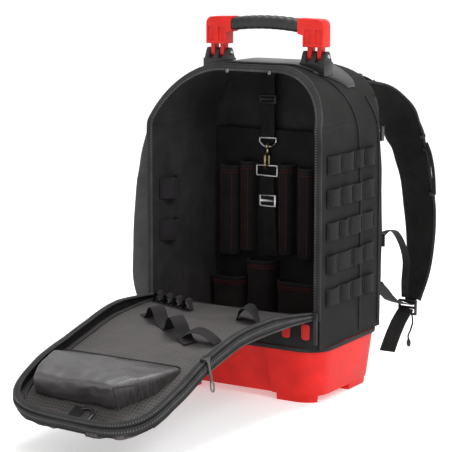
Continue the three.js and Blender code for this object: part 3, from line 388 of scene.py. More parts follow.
def end_finish(tree, colour, roughness, normal=None, **constants):
    shader = tree.nodes.new("ShaderNodeBsdfPrincipled")
    for key, value in (("Base Color", colour), ("Roughness", roughness)):
        if isinstance(value, bpy.types.NodeSocket):
            tree.links.new(value, shader.inputs[key])
        else:
            shader.inputs[key].default_value = value
    if normal is not None:
        tree.links.new(normal, shader.inputs["Normal"])
    for key, value in constants.items():
        shader.inputs[key.replace("_", " ")].default_value = value
    out = tree.nodes.new("ShaderNodeOutputMaterial")
    tree.links.new(shader.outputs[0], out.inputs["Surface"])


def mixed(tree, factor, first, second):
    made = tree.nodes.new("ShaderNodeMix")
    made.data_type = "RGBA"
    for socket, value in ((made.inputs[0], factor), (made.inputs[6], first),
                          (made.inputs[7], second)):
        if isinstance(value, bpy.types.NodeSocket):
            tree.links.new(value, socket)
        else:
            socket.default_value = value
    return made.outputs[2]


def sums(tree, operation, a, b):
    made = shader_node(tree, "ShaderNodeMath", operation=operation)
    for socket, value in ((made.inputs[0], a), (made.inputs[1], b)):
        if isinstance(value, bpy.types.NodeSocket):
            tree.links.new(value, socket)
        else:
            socket.default_value = value
    return made.outputs[0]


def ranged(tree, value, low, high, to_low, to_high):
    made = shader_node(tree, "ShaderNodeMapRange", {"Value": value, "From Min": low,
                       "From Max": high, "To Min": to_low, "To Max": to_high})
    return made.outputs[0]


def weave_height(tree, where, thread):
    """Threads that cross on every side of a piece, at their real pitch."""
    total = None
    for axis in "XYZ":
        wave = shader_node(tree, "ShaderNodeTexWave", {"Vector": where, "Scale": 0.314 / thread,
                           "Distortion": 0.6, "Detail": 1.0, "Detail Scale": 2.0},
                           wave_type="BANDS", bands_direction=axis, wave_profile="SIN")
        out = wave.outputs["Fac"]
        total = out if total is None else sums(tree, "ADD", total, out)
    return sums(tree, "MULTIPLY", total, 1 / 3)


def fabric(name, dark, light, thread, bump, tone=0.035, rough=0.85, ripstop=0.0, gloss=0.22):
    """Woven cloth with its threads, a tone that varies over the cloth, and ripstop lines."""
    finish, tree, where = start_finish(name)
    weave = weave_height(tree, where, thread)
    blotch = shader_node(tree, "ShaderNodeTexNoise", {"Vector": where, "Scale": 1 / tone,
                         "Detail": 4.0, "Roughness": 0.6}).outputs["Fac"]
    fuzz = shader_node(tree, "ShaderNodeTexNoise", {"Vector": where, "Scale": 900.0,
                       "Detail": 2.0}).outputs["Fac"]
    share = sums(tree, "MULTIPLY", ranged(tree, blotch, 0.3, 0.7, 0.1, 1.0),
                 ranged(tree, weave, 0.3, 0.7, 0.45, 1.0))
    height = sums(tree, "ADD", weave, sums(tree, "MULTIPLY", fuzz, 0.35))
    if ripstop:
        lines = None
        for axis in "XY":
            wave = shader_node(tree, "ShaderNodeTexWave", {"Vector": where,
                               "Scale": 0.314 / ripstop}, wave_type="BANDS",
                               bands_direction=axis, wave_profile="SIN").outputs["Fac"]
            ridge = ranged(tree, wave, 0.60, 0.95, 0.0, 1.0)
            lines = ridge if lines is None else sums(tree, "MAXIMUM", lines, ridge)
        height = sums(tree, "ADD", height, sums(tree, "MULTIPLY", lines, 0.5))
        share = sums(tree, "ADD", share, sums(tree, "MULTIPLY", lines, 0.75))
    colour = mixed(tree, share, (*dark, 1), (*light, 1))
    bumped = shader_node(tree, "ShaderNodeBump", {"Height": height, "Strength": 0.8,
                         "Distance": bump})
    end_finish(tree, colour, ranged(tree, blotch, 0.2, 0.8, rough - 0.07, rough + 0.05),
               bumped.outputs[0], Sheen_Weight=0.03, Sheen_Roughness=0.5,
               Specular_IOR_Level=gloss)
    return finish


def plastic(name, deep, bright, rough=0.4, grain=0.00008, grain_size=0.0006, gloss=0.4):
    """Moulded plastic: slightly uneven colour, fine grain, duller patches from handling."""
    finish, tree, where = start_finish(name)
    blotch = shader_node(tree, "ShaderNodeTexNoise", {"Vector": where, "Scale": 28.0,
                         "Detail": 5.0, "Roughness": 0.55}).outputs["Fac"]
    fine = shader_node(tree, "ShaderNodeTexNoise", {"Vector": where, "Scale": 1 / grain_size,
                       "Detail": 2.0}).outputs["Fac"]
    scuff = shader_node(tree, "ShaderNodeTexNoise", {"Vector": where, "Scale": 160.0,
                        "Detail": 6.0, "Distortion": 1.5}).outputs["Fac"]
    colour = mixed(tree, ranged(tree, blotch, 0.35, 0.65, 0.0, 1.0), (*deep, 1), (*bright, 1))
    roughness = sums(tree, "ADD", ranged(tree, blotch, 0.3, 0.7, rough - 0.06, rough + 0.06),
                     ranged(tree, scuff, 0.62, 0.75, 0.0, 0.12))
    bumped = shader_node(tree, "ShaderNodeBump", {"Height": fine, "Strength": 0.5,
                         "Distance": grain})
    end_finish(tree, colour, roughness, bumped.outputs[0], Specular_IOR_Level=gloss)
    return finish


def metal(name, colour, rough=0.25):
    """Polished wire and plate with fine drawn scratches and dull spots."""
    finish, tree, where = start_finish(name)
    scratch = shader_node(tree, "ShaderNodeTexNoise", {"Vector": where, "Scale": 700.0,
                          "Detail": 3.0, "Distortion": 2.0}).outputs["Fac"]
    spots = shader_node(tree, "ShaderNodeTexNoise", {"Vector": where, "Scale": 90.0,
                        "Detail": 4.0}).outputs["Fac"]
    shade = mixed(tree, ranged(tree, spots, 0.35, 0.7, 0.0, 0.5), (*colour, 1),
                  (*[c * 0.6 for c in colour], 1))
    bumped = shader_node(tree, "ShaderNodeBump", {"Height": scratch, "Strength": 0.3,
                         "Distance": 0.00006})
    end_finish(tree, shade, ranged(tree, scratch, 0.3, 0.7, rough - 0.08, rough + 0.12),
               bumped.outputs[0], Metallic=1.0)
    return finish


SIDE_CLOTH = fabric("side_cloth", (0.0062, 0.0060, 0.0057), (0.017, 0.016, 0.0155), 0.0018, 0.0004,
                    gloss=0.12)
LINING = fabric("lining_cloth", (0.006, 0.0055, 0.006), (0.017, 0.016, 0.016), 0.0014, 0.0003)
WALL_CLOTH = fabric("inner_wall_cloth", (0.013, 0.013, 0.0135), (0.036, 0.036, 0.037), 0.0014,
                    0.0003)
RIPSTOP = fabric("ripstop_cloth", (0.014, 0.012, 0.012), (0.066, 0.057, 0.057), 0.0013, 0.0005,
                 rough=0.70, ripstop=0.0062, gloss=0.5)
POCKET_CLOTH = fabric("pocket_cloth", (0.011, 0.010, 0.010), (0.046, 0.042, 0.041), 0.0012,
                      0.0002, rough=0.46, ripstop=0.0052, gloss=0.9)
WEBBING = fabric("webbing_weave", (0.006, 0.006, 0.006), (0.020, 0.019, 0.019), 0.0022, 0.0006,
                 tone=0.02)
ROW_WEBBING = fabric("row_webbing", (0.006, 0.0055, 0.0055), (0.020, 0.018, 0.018), 0.0022, 0.0006,
                     tone=0.02, gloss=0.12)
PAD_MESH = fabric("pad_mesh", (0.0035, 0.0034, 0.0032), (0.011, 0.0105, 0.010), 0.0030, 0.0008,
                  gloss=0.12)
BINDING = fabric("binding_tape", (0.010, 0.010, 0.010), (0.034, 0.033, 0.034), 0.0016, 0.0005)
# Paler than the binding; on the opening's edge this paleness is a painted highlight along the rim
PALE_PIPING_AND_HIGHLIGHT = fabric("pale_piping_and_highlight", (0.022, 0.021, 0.021), (0.062, 0.060, 0.060), 0.0016, 0.0004,
                      gloss=0.14)
ZIP_CLOTH = fabric("zip_cloth", (0.012, 0.012, 0.012), (0.036, 0.035, 0.036), 0.0014, 0.0003)
# The pouch cloth is much paler than the body's cloth: painted light, standing in for the light that
# falls on the pouch from the left front
POUCH_CLOTH_PAINTED_LIGHT = fabric("pouch_cloth_painted_light", (0.036, 0.035, 0.036), (0.078, 0.075, 0.077), 0.0016, 0.0004)
ELASTIC = fabric("elastic_weave", (0.008, 0.007, 0.008), (0.026, 0.023, 0.026), 0.0018, 0.0005)
RED_THREAD = fabric("red_thread", (0.16, 0.008, 0.008), (0.28, 0.018, 0.015), 0.0006, 0.0001)
GREY_THREAD = fabric("grey_thread", (0.04, 0.04, 0.04), (0.11, 0.105, 0.105), 0.0006, 0.0001)
RED_PLASTIC = plastic("red_tray_plastic", (0.56, 0.010, 0.008), (0.70, 0.018, 0.013), 0.50,
                      gloss=0.2)
RED_HANDLE = plastic("red_handle_plastic", (0.58, 0.014, 0.010), (0.70, 0.024, 0.016), 0.44,
                     gloss=0.24)
RED_TAB = fabric("red_tab_cloth", (0.38, 0.016, 0.012), (0.60, 0.034, 0.024), 0.0014, 0.0003)
BLACK_PLASTIC = plastic("black_plastic", (0.009, 0.009, 0.0095), (0.022, 0.022, 0.023), 0.38)
TOP_PLASTIC = plastic("top_plate_plastic", (0.012, 0.012, 0.012), (0.027, 0.0265, 0.027), 0.34,
                      gloss=0.5)
GRIP_RUBBER = plastic("grip_rubber", (0.008, 0.008, 0.0085), (0.020, 0.020, 0.021), 0.48,
                      grain=0.00015, grain_size=0.0012)
TEETH = plastic("zip_teeth", (0.024, 0.024, 0.025), (0.066, 0.066, 0.068), 0.35)
STEEL = metal("polished_steel", (0.62, 0.62, 0.65))
DARK_STEEL = metal("dark_steel", (0.16, 0.16, 0.17), 0.28)
BRASS = metal("satin_brass", (0.55, 0.44, 0.28), 0.3)


# ---- Body ---------------------------------------------------------------------------------------

def arch_line(inset, forward, count=150, low=SILL_TOP):
    """The opening's edge, from its low left end over the top to its low right end."""
    half = HALF_WIDTH - inset
    radius = SHOULDER - inset
    middle = HALF_WIDTH - SHOULDER
    points = [(-half, low), (-half, SHOULDER_LOW)]
    points += [(-middle - radius * math.cos(a), SHOULDER_LOW + radius * math.sin(a))
               for a in np.linspace(0, math.pi / 2, 24)[1:]]
    points += [(middle + radius * math.sin(a), SHOULDER_LOW + radius * math.cos(a))
               for a in np.linspace(0, math.pi / 2, 24)]
    points += [(half, low)]
    flat = even(points, count)
    out = []
    for x, z in flat:
        out.append((x, -HALF_DEPTH - forward + max(z - LEAN_START, 0) * LEAN, z))
    return np.array(out)


def opening_facing(line):
    """The direction that the opening's edge faces at each point."""
    return np.array([unit((0, -1, LEAN if z > LEAN_START else 0)) for _, _, z in line])


def side_x(z):
    """How far out the body's side lies at one height."""
    if z <= SHOULDER_LOW:
        return HALF_WIDTH
    return HALF_WIDTH - SHOULDER + math.sqrt(max(SHOULDER ** 2 - (z - SHOULDER_LOW) ** 2, 0))


def make_body():
    body = cast_of("body_shell", "body_fabric")
    sliced(body, (0.013, 0.013, 0.013))
    ripple(body, 0.0016, 0.055, 1.0, -1.0, 0.0)
    dress(smooth(body, 35), SIDE_CLOTH, replaced="body_shell")
    inner = body.data
    inner.materials.append(WALL_CLOTH)
    for face in inner.polygons:
        c, n = face.center, face.normal
        inside = (abs(c.x) < HALF_WIDTH - 0.0012 and c.y > -HALF_DEPTH + 0.002
                  and (n.x * c.x < -0.02 or n.y < -0.5 or n.z < -0.3))
        face.material_index = 1 if inside else 0
    fitted("front_sill", "sill_wall", 0.0015, WEBBING)


def make_opening_zip():
    rows = [arch_line(inset, forward) for inset, forward in
            ((0.0000, 0.0004), (0.0010, 0.0019), (0.0035, 0.0024), (0.0065, 0.0022),
             (0.0090, 0.0016))]
    tape = thicken(sheet_of("opening_zip_tape", rows), 0.0009)
    dress(smooth(tape, 60), ZIP_CLOTH, replaced="rim_zip_tape")
    line = arch_line(0.0080, 0.0030, 300)
    tooth = grain_box(0.0021, 0.0034, 0.0016, 0.0003)
    teeth = repeat("opening_zip_teeth", tooth, along(line, opening_facing(line), TOOTH_PITCH))
    remove(tooth)
    dress(teeth, TEETH)
    edge = arch_line(-0.0004, 0.0012, 220)
    # Pale cord along the opening's edge: its paleness is a painted highlight along the rim
    dress(piping("opening_piping", edge, 0.0015), PALE_PIPING_AND_HIGHLIGHT)


def make_side_seams():
    for k, points in enumerate((
            [(0.024, 0.098), (0.024, 0.20), (0.023, 0.30), (0.019, 0.37), (0.012, 0.43),
             (0.002, 0.470), (-0.012, 0.500)],
            [(0.088, 0.098), (0.088, 0.25), (0.086, 0.36), (0.080, 0.420), (0.066, 0.465)])):
        for side in (1, -1):
            if side < 0 and k == 0:
                continue
            yz = spline([(0, y, z) for y, z in points], 80)
            line = [(side * (side_x(z) + 0.0006), y, z) for _, y, z in yz]
            dress(piping(f"side_seam_{k + 1}_{'right' if side > 0 else 'left'}", line, 0.0013),
                  BINDING)


def make_rivets():
    for word, x in (("left", -0.038), ("right", 0.038)):
        bpy.ops.object.select_all(action="DESELECT")
        bpy.ops.mesh.primitive_uv_sphere_add(segments=20, ring_count=12, radius=0.0040,
                                             location=(0, 0, 0))
        rivet = bpy.context.object
        rivet.name = f"rim_rivet_{word}"
        place(rivet, coords(rivet) * np.array([0.8, 0.5, 0.8]) + np.array([x, -0.0590, 0.5050]))
        dress(smooth(rivet, 60), DARK_STEEL)


# ---- Tray, plate and handle ---------------------------------------------------------------------

def make_tray():
    fitted("base_tray", "tray_shell", 0.0018, RED_PLASTIC, segments=3)
    fitted("base_binding", "tray_binding", 0.0009, BINDING)


def make_top():
    fitted("top_plate", "hard_top_plate", 0.0010, TOP_PLASTIC)
    for side in ("left", "right"):
        fitted(f"bracket_{side}", f"hinge_bracket_{side}", 0.0007, BLACK_PLASTIC)
        fitted(f"pin_{side}", f"hinge_pin_{side}", 0.0006, STEEL)
        fitted(f"handle_end_{side}", f"handle_corner_{side}", 0.0012, RED_HANDLE,
               "handle", 3)
    make_grip()


GRIP_HALF, GRIP_DEEP, GRIP_TALL = 0.0602, 0.0134, 0.0108
GRIP_HEIGHT, GRIP_ARCH, GRIP_RIBS = 0.5756, 0.004, 9


def make_grip():
    """The grip: a slightly arched bar with cross ribs and a groove along each side."""
    rings = []
    for x in np.linspace(-GRIP_HALF, GRIP_HALF, 161):
        share = x / GRIP_HALF
        middle = GRIP_HEIGHT + GRIP_ARCH * (1 - share * share)
        rib = (0.5 - 0.5 * math.cos(GRIP_RIBS * math.pi * (share + 1))) ** 0.7
        end = 1 - 0.10 * max(abs(share) - 0.94, 0) / 0.06
        ring = []
        for a in np.linspace(0, 2 * math.pi, 32, endpoint=False):
            c, t = math.cos(a), math.sin(a)
            out = (abs(c) ** 3 + abs(t) ** 3) ** (-1 / 3)
            grow = end * (1 - 0.085 * (1 - rib) * (0.3 + 0.7 * max(t + 0.3, 0) / 1.3))
            grow *= 1 - 0.06 * math.exp(-((t + 0.25) / 0.09) ** 2)
            ring.append((x, GRIP_DEEP * c * out * grow, middle + GRIP_TALL * t * out * grow))
        rings.append(ring)
    grip = tube_of("ribbed_grip", rings)
    dress(smooth(grip, 50), GRIP_RUBBER, "handle", "handle_grip")


# ---- Inside -------------------------------------------------------------------------------------

SLEEVES = ((-0.117, 0.036, 0.336), (-0.082, 0.028, 0.345), (-0.009, 0.028, 0.344),
           (0.029, 0.030, 0.340))
SLEEVE_HEIGHT, SLEEVE_DEPTH, SEAM_INSET = 0.150, 0.022, 0.0075
LOW_POCKETS = (("left", -0.146, -0.084, 0.150), ("middle", -0.079, -0.026, 0.182),
               ("right", -0.021, 0.068, 0.152))
POCKET_LOW, POCKET_DEPTH = 0.0943, 0.032


def pocket_line(x0, x1, depth, corner, count=22):
    """The front of a pocket seen from above, from one side seam to the other."""
    face = PANEL_FRONT - 0.0004
    points = [(x0, face), (x0, face - depth + corner)]
    points += [(x0 + corner - corner * math.cos(a), face - depth + corner - corner * math.sin(a))
               for a in np.linspace(0, math.pi / 2, 7)[1:]]
    points += [(x1 - corner + corner * math.sin(a), face - depth + corner - corner * math.cos(a))
               for a in np.linspace(0, math.pi / 2, 7)]
    points += [(x1, face)]
    return even(points, count)


def make_pocket(name, x0, x1, low, top, depth, node):
    """An open pocket on the board, with a hem and two rows of red stitches."""
    inset = 0.0012
    centre = np.array([(x0 + x1) / 2, PANEL_FRONT])
    line = pocket_line(x0 + inset, x1 - inset, depth - inset, depth * 0.55)
    rows = []
    for z in np.linspace(low + 0.001, top - 0.001, 12):
        share = (z - low) / (top - low)
        pull = 0.0015 * math.sin(share * math.pi) - 0.0008 * share
        rows.append([(*(p + unit(centre - p) * pull), z) for p in line])
    floor = np.array([(x0 + x1) / 2, PANEL_FRONT - depth / 2, low + 0.0012])
    bottom = [[tuple(np.array(p) * (1 - s) + floor * s) for p in rows[0]] for s in (0.85, 0.45)]
    front = thicken(sheet_of(name, bottom + rows), 0.0014)
    dress(smooth(front, 50), LINING, replaced=node)
    hem = [(*(p - unit(centre - p) * 0.0004), top - 0.0012) for p in line]
    dress(piping(f"{name}_hem", hem, 0.0015), BINDING)
    for k in range(2):
        z = top - 0.008 - 0.004 * k
        run = [(*(p - unit(centre - p) * 0.0009), z) for p in line]
        facing = [(*-unit(centre - p), 0) for p in line]
        stitches(f"{name}_stitches_{k + 1}", run, facing, RED_THREAD)


def make_inside():
    cloth_cast("tool_panel", "tool_board", 0.003, LINING, 2, 40)
    for i, (middle, width, top) in enumerate(SLEEVES):
        make_pocket(f"tool_sleeve_{i + 1}", middle - width / 2, middle + width / 2,
                    top - SLEEVE_HEIGHT, top, SLEEVE_DEPTH, f"sleeve_{i + 1}")
        for word, x in (("a", middle - width / 2 + SEAM_INSET),
                        ("b", middle + width / 2 - SEAM_INSET)):
            seam = [(x, PANEL_FRONT - SLEEVE_DEPTH - 0.0006, z)
                    for z in np.linspace(top - 0.142, top - 0.014, 30)]
            stitches(f"tool_sleeve_{i + 1}_seam_{word}", seam, (0, -1, 0), RED_THREAD)
    for name, x0, x1, top in LOW_POCKETS:
        make_pocket(f"deep_pocket_{name}", x0, x1, POCKET_LOW, top, POCKET_DEPTH,
                    f"low_pocket_{name}")
    for i in (1, 2):
        cloth_cast(f"side_loop_{i}", f"wall_loop_{i}", 0.0004, ELASTIC)


def make_hanging_strap():
    for node, name, finish, slot, bevel in (
            ("hang_strap_upper", "hanging_webbing_upper", WEBBING, "webbing", 0.0004),
            ("hang_strap_lower", "hanging_webbing_lower", WEBBING, "webbing", 0.0004),
            ("hang_slider_upper", "hanging_slide_upper", BLACK_PLASTIC, "black_plastic", 0.0005),
            ("hang_slider_lower", "hanging_slide_lower", STEEL, "steel", 0.0006),
            ("hang_d_ring", "hanging_d_ring", STEEL, "steel", 0.0010),
            ("square_ring", "hanging_square_ring", STEEL, "steel", 0.0010),
            ("snap_hook", "snap_hook_body", BRASS, "brass", 0.0007)):
        fitted(node, name, bevel, finish)
    fitted("hook_gate", "snap_hook_gate", 0.0004, BRASS, "gate")


# ---- Pouch and webbing rows ---------------------------------------------------------------------

POUCH_LOW, POUCH_HIGH, POUCH_WALL = 0.100, 0.416, 0.0024
POUCH_FRONT, POUCH_BACK, POUCH_THICK = -0.0945, 0.0735, 0.044
# How thick the pouch is at each share of its height, as a share of its full thickness
POUCH_SHAPE = ((0.00, 0.45), (0.05, 0.66), (0.10, 0.78), (0.14, 0.90), (0.215, 1.00),
               (0.35, 0.98), (0.50, 0.93), (0.71, 0.77), (0.87, 0.55), (0.96, 0.33), (1.00, 0.25))


def pouch_ring(share, inset):
    out = np.interp(share, [s for s, _ in POUCH_SHAPE], [o for _, o in POUCH_SHAPE])
    thick = max(POUCH_THICK * out - inset, 0.002)
    wall = -HALF_WIDTH - 0.0006 - inset
    y0, y1 = POUCH_FRONT + inset, POUCH_BACK - inset
    front = max(min(thick * 0.7, 0.008), 0.001)
    back = max(min(thick * 0.7, 0.022), 0.001)
    outer = wall - thick + inset
    points = [(wall, y0)]
    points += [(outer + front - front * math.sin(a), y0 + front - front * math.cos(a))
               for a in np.linspace(0, math.pi / 2, 6)]
    points += [(outer, y) for y in np.linspace(y0 + front, y1 - back, 14)[1:-1]]
    points += [(outer + back - back * math.cos(a), y1 - back + back * math.sin(a))
               for a in np.linspace(0, math.pi / 2, 8)]
    points += [(wall, y1)]
    return points


def make_pouch():
    rings = []
    for inset, shares in ((0, np.linspace(0, 1, 26)), (POUCH_WALL, np.linspace(1, 0.02, 22))):
        for share in shares:
            z = POUCH_LOW + share * (POUCH_HIGH - POUCH_LOW)
            rings.append([(x, y, z) for x, y in pouch_ring(share, inset)])
    pouch = tube_of("outer_pouch", rings)
    ripple(pouch, 0.0010, 0.05, 3.0, -1.0, 0.6, hold=lambda p: 1.0 if p[0] < -0.160 else 0.0)
    # The pouch's pale cloth carries painted light from the left front
    dress(smooth(pouch, 50), POUCH_CLOTH_PAINTED_LIGHT, replaced="side_pouch")
    lip = [(x, y, POUCH_HIGH) for x, y in pouch_ring(1, 0.0012)]
    dress(piping("outer_pouch_lip", lip, 0.0022), BINDING)


ROW_COUNT, ROW_TOP, ROW_PITCH, ROW_HEIGHT = 5, 0.386, 0.051, 0.028


def make_webbing_rows():
    """Rows of webbing on the right side, tacked down unevenly so that their loops differ."""
    front, back, loops = -0.0885, 0.0705, 4
    step = (back - front) / loops
    ys = np.linspace(front, back, 110)
    tack = grain_box(0.0012, 0.0215, 0.0012, 0.0003)
    tacks = []
    for row in range(ROW_COUNT):
        top = ROW_TOP - ROW_PITCH * row
        marks = [front + step * (i + 0.5 * noise.noise(Vector((row * 3.1, i * 2.7, 0.3))))
                 for i in range(loops + 1)]
        marks[0], marks[-1] = front, back
        rows = []
        for k, z in enumerate(np.linspace(top - ROW_HEIGHT, top, 5)):
            line = []
            for y in ys:
                index = min(sum(y >= mark for mark in marks[1:]), loops - 1)
                share = (y - marks[index]) / (marks[index + 1] - marks[index])
                fold = max(math.sin((share - 0.10) / 0.80 * math.pi), 0) if 0.1 < share < 0.9 else 0
                full = 0.0030 + 0.0040 * noise.noise(Vector((index * 1.7, row * 2.3, 0.5)))
                sag = 0.0022 * fold * noise.noise(Vector((index * 2.9, row * 1.3, k * 0.4)))
                line.append((HALF_WIDTH + 0.0012 + full * fold ** 0.5, y, z + sag))
            rows.append(line)
        strip = thicken(sheet_of(f"webbing_row_{row + 1}", rows), 0.0013)
        dress(smooth(strip, 60), ROW_WEBBING, replaced=f"side_webbing_{row + 1}")
        for mark in marks:
            y = min(max(mark, front + 0.003), back - 0.003)
            at = np.array([HALF_WIDTH + 0.0024, y, top - ROW_HEIGHT / 2])
            tacks.append((at, *np.array([[0, 1, 0], [0, 0, 1], [1, 0, 0]])))
    bars = repeat("webbing_bar_tacks", tack, tacks)
    remove(tack)
    dress(bars, WEBBING)


# ---- Back and shoulder straps -------------------------------------------------------------------

def swell(piece, pressure, cap):
    """Lets a padded piece fill out, then caps how far its points have moved."""
    before = coords(piece)
    only(piece)
    cloth = piece.modifiers.new("stuffing", "CLOTH")
    cloth.settings.use_pressure = True
    cloth.settings.uniform_pressure_force = pressure
    cloth.settings.effector_weights.gravity = 0
    cloth.settings.quality = 4
    for step in range(1, 21):
        bpy.context.scene.frame_set(step)
    bpy.ops.object.modifier_apply(modifier=cloth.name)
    bpy.context.scene.frame_set(1)
    after = coords(piece)
    move = after - before
    size = np.linalg.norm(move, axis=1)[:, None]
    return place(piece, before + move * np.minimum(1, cap / np.maximum(size, 1e-9)))


def make_pad(node, name, channels):
    pad = cast_of(node, name)
    low, high = extent(pad)
    modify(pad, "REMESH", mode="VOXEL", voxel_size=0.005)
    middle = (low + high) / 2
    place(pad, middle + (coords(pad) - middle) * np.array([0.985, 0.86, 0.985]))
    swell(pad, 3.0, 0.005)
    co = coords(pad)
    face = HALF_DEPTH + 0.0006
    for i, p in enumerate(co):
        groove = max(math.exp(-((p[2] - z) / 0.005) ** 2) for z in channels) if channels else 0
        out = max(p[1] - face, 0)
        co[i, 1] = face + out * (1 - 0.45 * groove)
    place(pad, co)
    modify(pad, "SUBSURF", levels=1, render_levels=1)
    dress(smooth(pad, 80), PAD_MESH, replaced=node)


STRAP_LINE = ((0.067, 0.1082, 0.447), (0.0684, 0.1236, 0.447), (0.0846, 0.1602, 0.446),
              (0.098, 0.2009, 0.4385), (0.108, 0.2234, 0.426), (0.1173, 0.2422, 0.4014),
              (0.128, 0.260, 0.3568), (0.1361, 0.2731, 0.296), (0.140, 0.279, 0.2441),
              (0.141, 0.2799, 0.2009), (0.138, 0.279, 0.1489), (0.131, 0.2681, 0.1012))
STRAP_TURN = (0, 0, 0, 0, 0.1, 0.3, 0.65, 0.9, 1, 1, 1, 1)
STRAP_WIDTH, STRAP_THICK = 0.065, 0.0115


def strap_frame(count):
    """The padded strap's middle line and the direction across it."""
    rows = spline([(*p, t) for p, t in zip(STRAP_LINE, STRAP_TURN)], count)
    line, turn = rows[:, :3], np.clip(rows[:, 3:], 0, 1)
    upright, facing = np.array([0.3, 0, 0.95]), np.array([math.cos(0.21), -math.sin(0.21), 0])
    return line, unit(upright * (1 - turn) + facing * turn)


def flip(points, side):
    return np.array(points, float) * np.array([side, 1, 1])


def make_strap(side):
    word = "right" if side > 0 else "left"
    line, across = strap_frame(110)
    share = np.linspace(0, 1, 110)
    width = (STRAP_WIDTH - 0.004 * share - 0.024 * np.clip((share - 0.86) / 0.14, 0, 1) ** 1.6
             + 0.0016 * np.sin(share * 31))
    pad = band_of(f"padded_strap_{word}", flip(line, side), flip(across, side), width, STRAP_THICK,
                  sides=12, cut=0.25)
    ripple(pad, 0.0034, 0.034, 2.0 + side, -0.9, 0.4)
    dress(smooth(pad, 70), PAD_MESH, replaced=f"shoulder_strap_{word}")
    ahead = directions(line)
    side_way = unit(across - ahead * (across * ahead).sum(1)[:, None])
    out = np.cross(ahead, side_way)
    for k, edge in enumerate((-1, 1)):
        rim = line + side_way * (edge * (width / 2)[:, None])
        dress(piping(f"strap_binding_{word}_{k + 1}", flip(rim, side), 0.0026), BINDING)
    web = band_of(f"strap_centre_web_{word}", flip(line[9:100] - out[9:100] * 0.0072, side),
                  flip(across[9:100], side), 0.025, 0.0014, sides=6)
    dress(web, WEBBING)
    fold = np.vstack([line[-10:-1:3], line[-1] + np.outer((0, 0.005, 0.010), ahead[-1])])
    dress(band_of(f"lock_fold_{word}", flip(fold, side),
                  flip(np.broadcast_to(across[-1], fold.shape), side), 0.024, 0.0042), WEBBING)
    fitted(f"ladder_lock_{word}", f"strap_lock_{word}", 0.0009, BLACK_PLASTIC)
    cloth_cast(f"strap_webbing_{word}", f"lower_web_{word}", 0.0003, WEBBING)
    cloth_cast(f"strap_tail_{word}", f"web_end_{word}", 0.0008, WEBBING, segments=2)


def clip_box(name, middle, ahead, side, size, window=0.5):
    """A moulded buckle: a plate with a sunk window on both faces, standing square to a strap."""
    ahead, side = unit(ahead), unit(side)
    up = unit(np.cross(ahead, side))
    side = np.cross(up, ahead)
    bpy.ops.object.select_all(action="DESELECT")
    bpy.ops.mesh.primitive_cube_add(size=1, location=(0, 0, 0))
    clip = bpy.context.object
    clip.name = name
    edit(clip)
    bpy.ops.mesh.subdivide(number_cuts=2)
    close()
    co = coords(clip)
    shape = np.where(np.abs(co) < 0.3, co * 3 * window, co)
    place(clip, shape * np.array(size))
    for face in clip.data.polygons:
        c = face.center
        face.select = (abs(c[0]) < size[0] * 0.2 and abs(c[1]) < size[1] * 0.2
                       and abs(abs(c[2]) - size[2] / 2) < size[2] * 0.05)
    bpy.ops.object.mode_set(mode="EDIT")
    bpy.ops.mesh.inset(thickness=min(size[:2]) * 0.05, depth=-size[2] * 0.22)
    close()
    modify(clip, "BEVEL", width=min(size) * 0.16, segments=2, limit_method="ANGLE",
           angle_limit=math.radians(40))
    turn = np.stack([ahead, side, up], 0)
    place(clip, coords(clip) @ turn + np.array(middle))
    return dress(smooth(clip, 45), BLACK_PLASTIC)


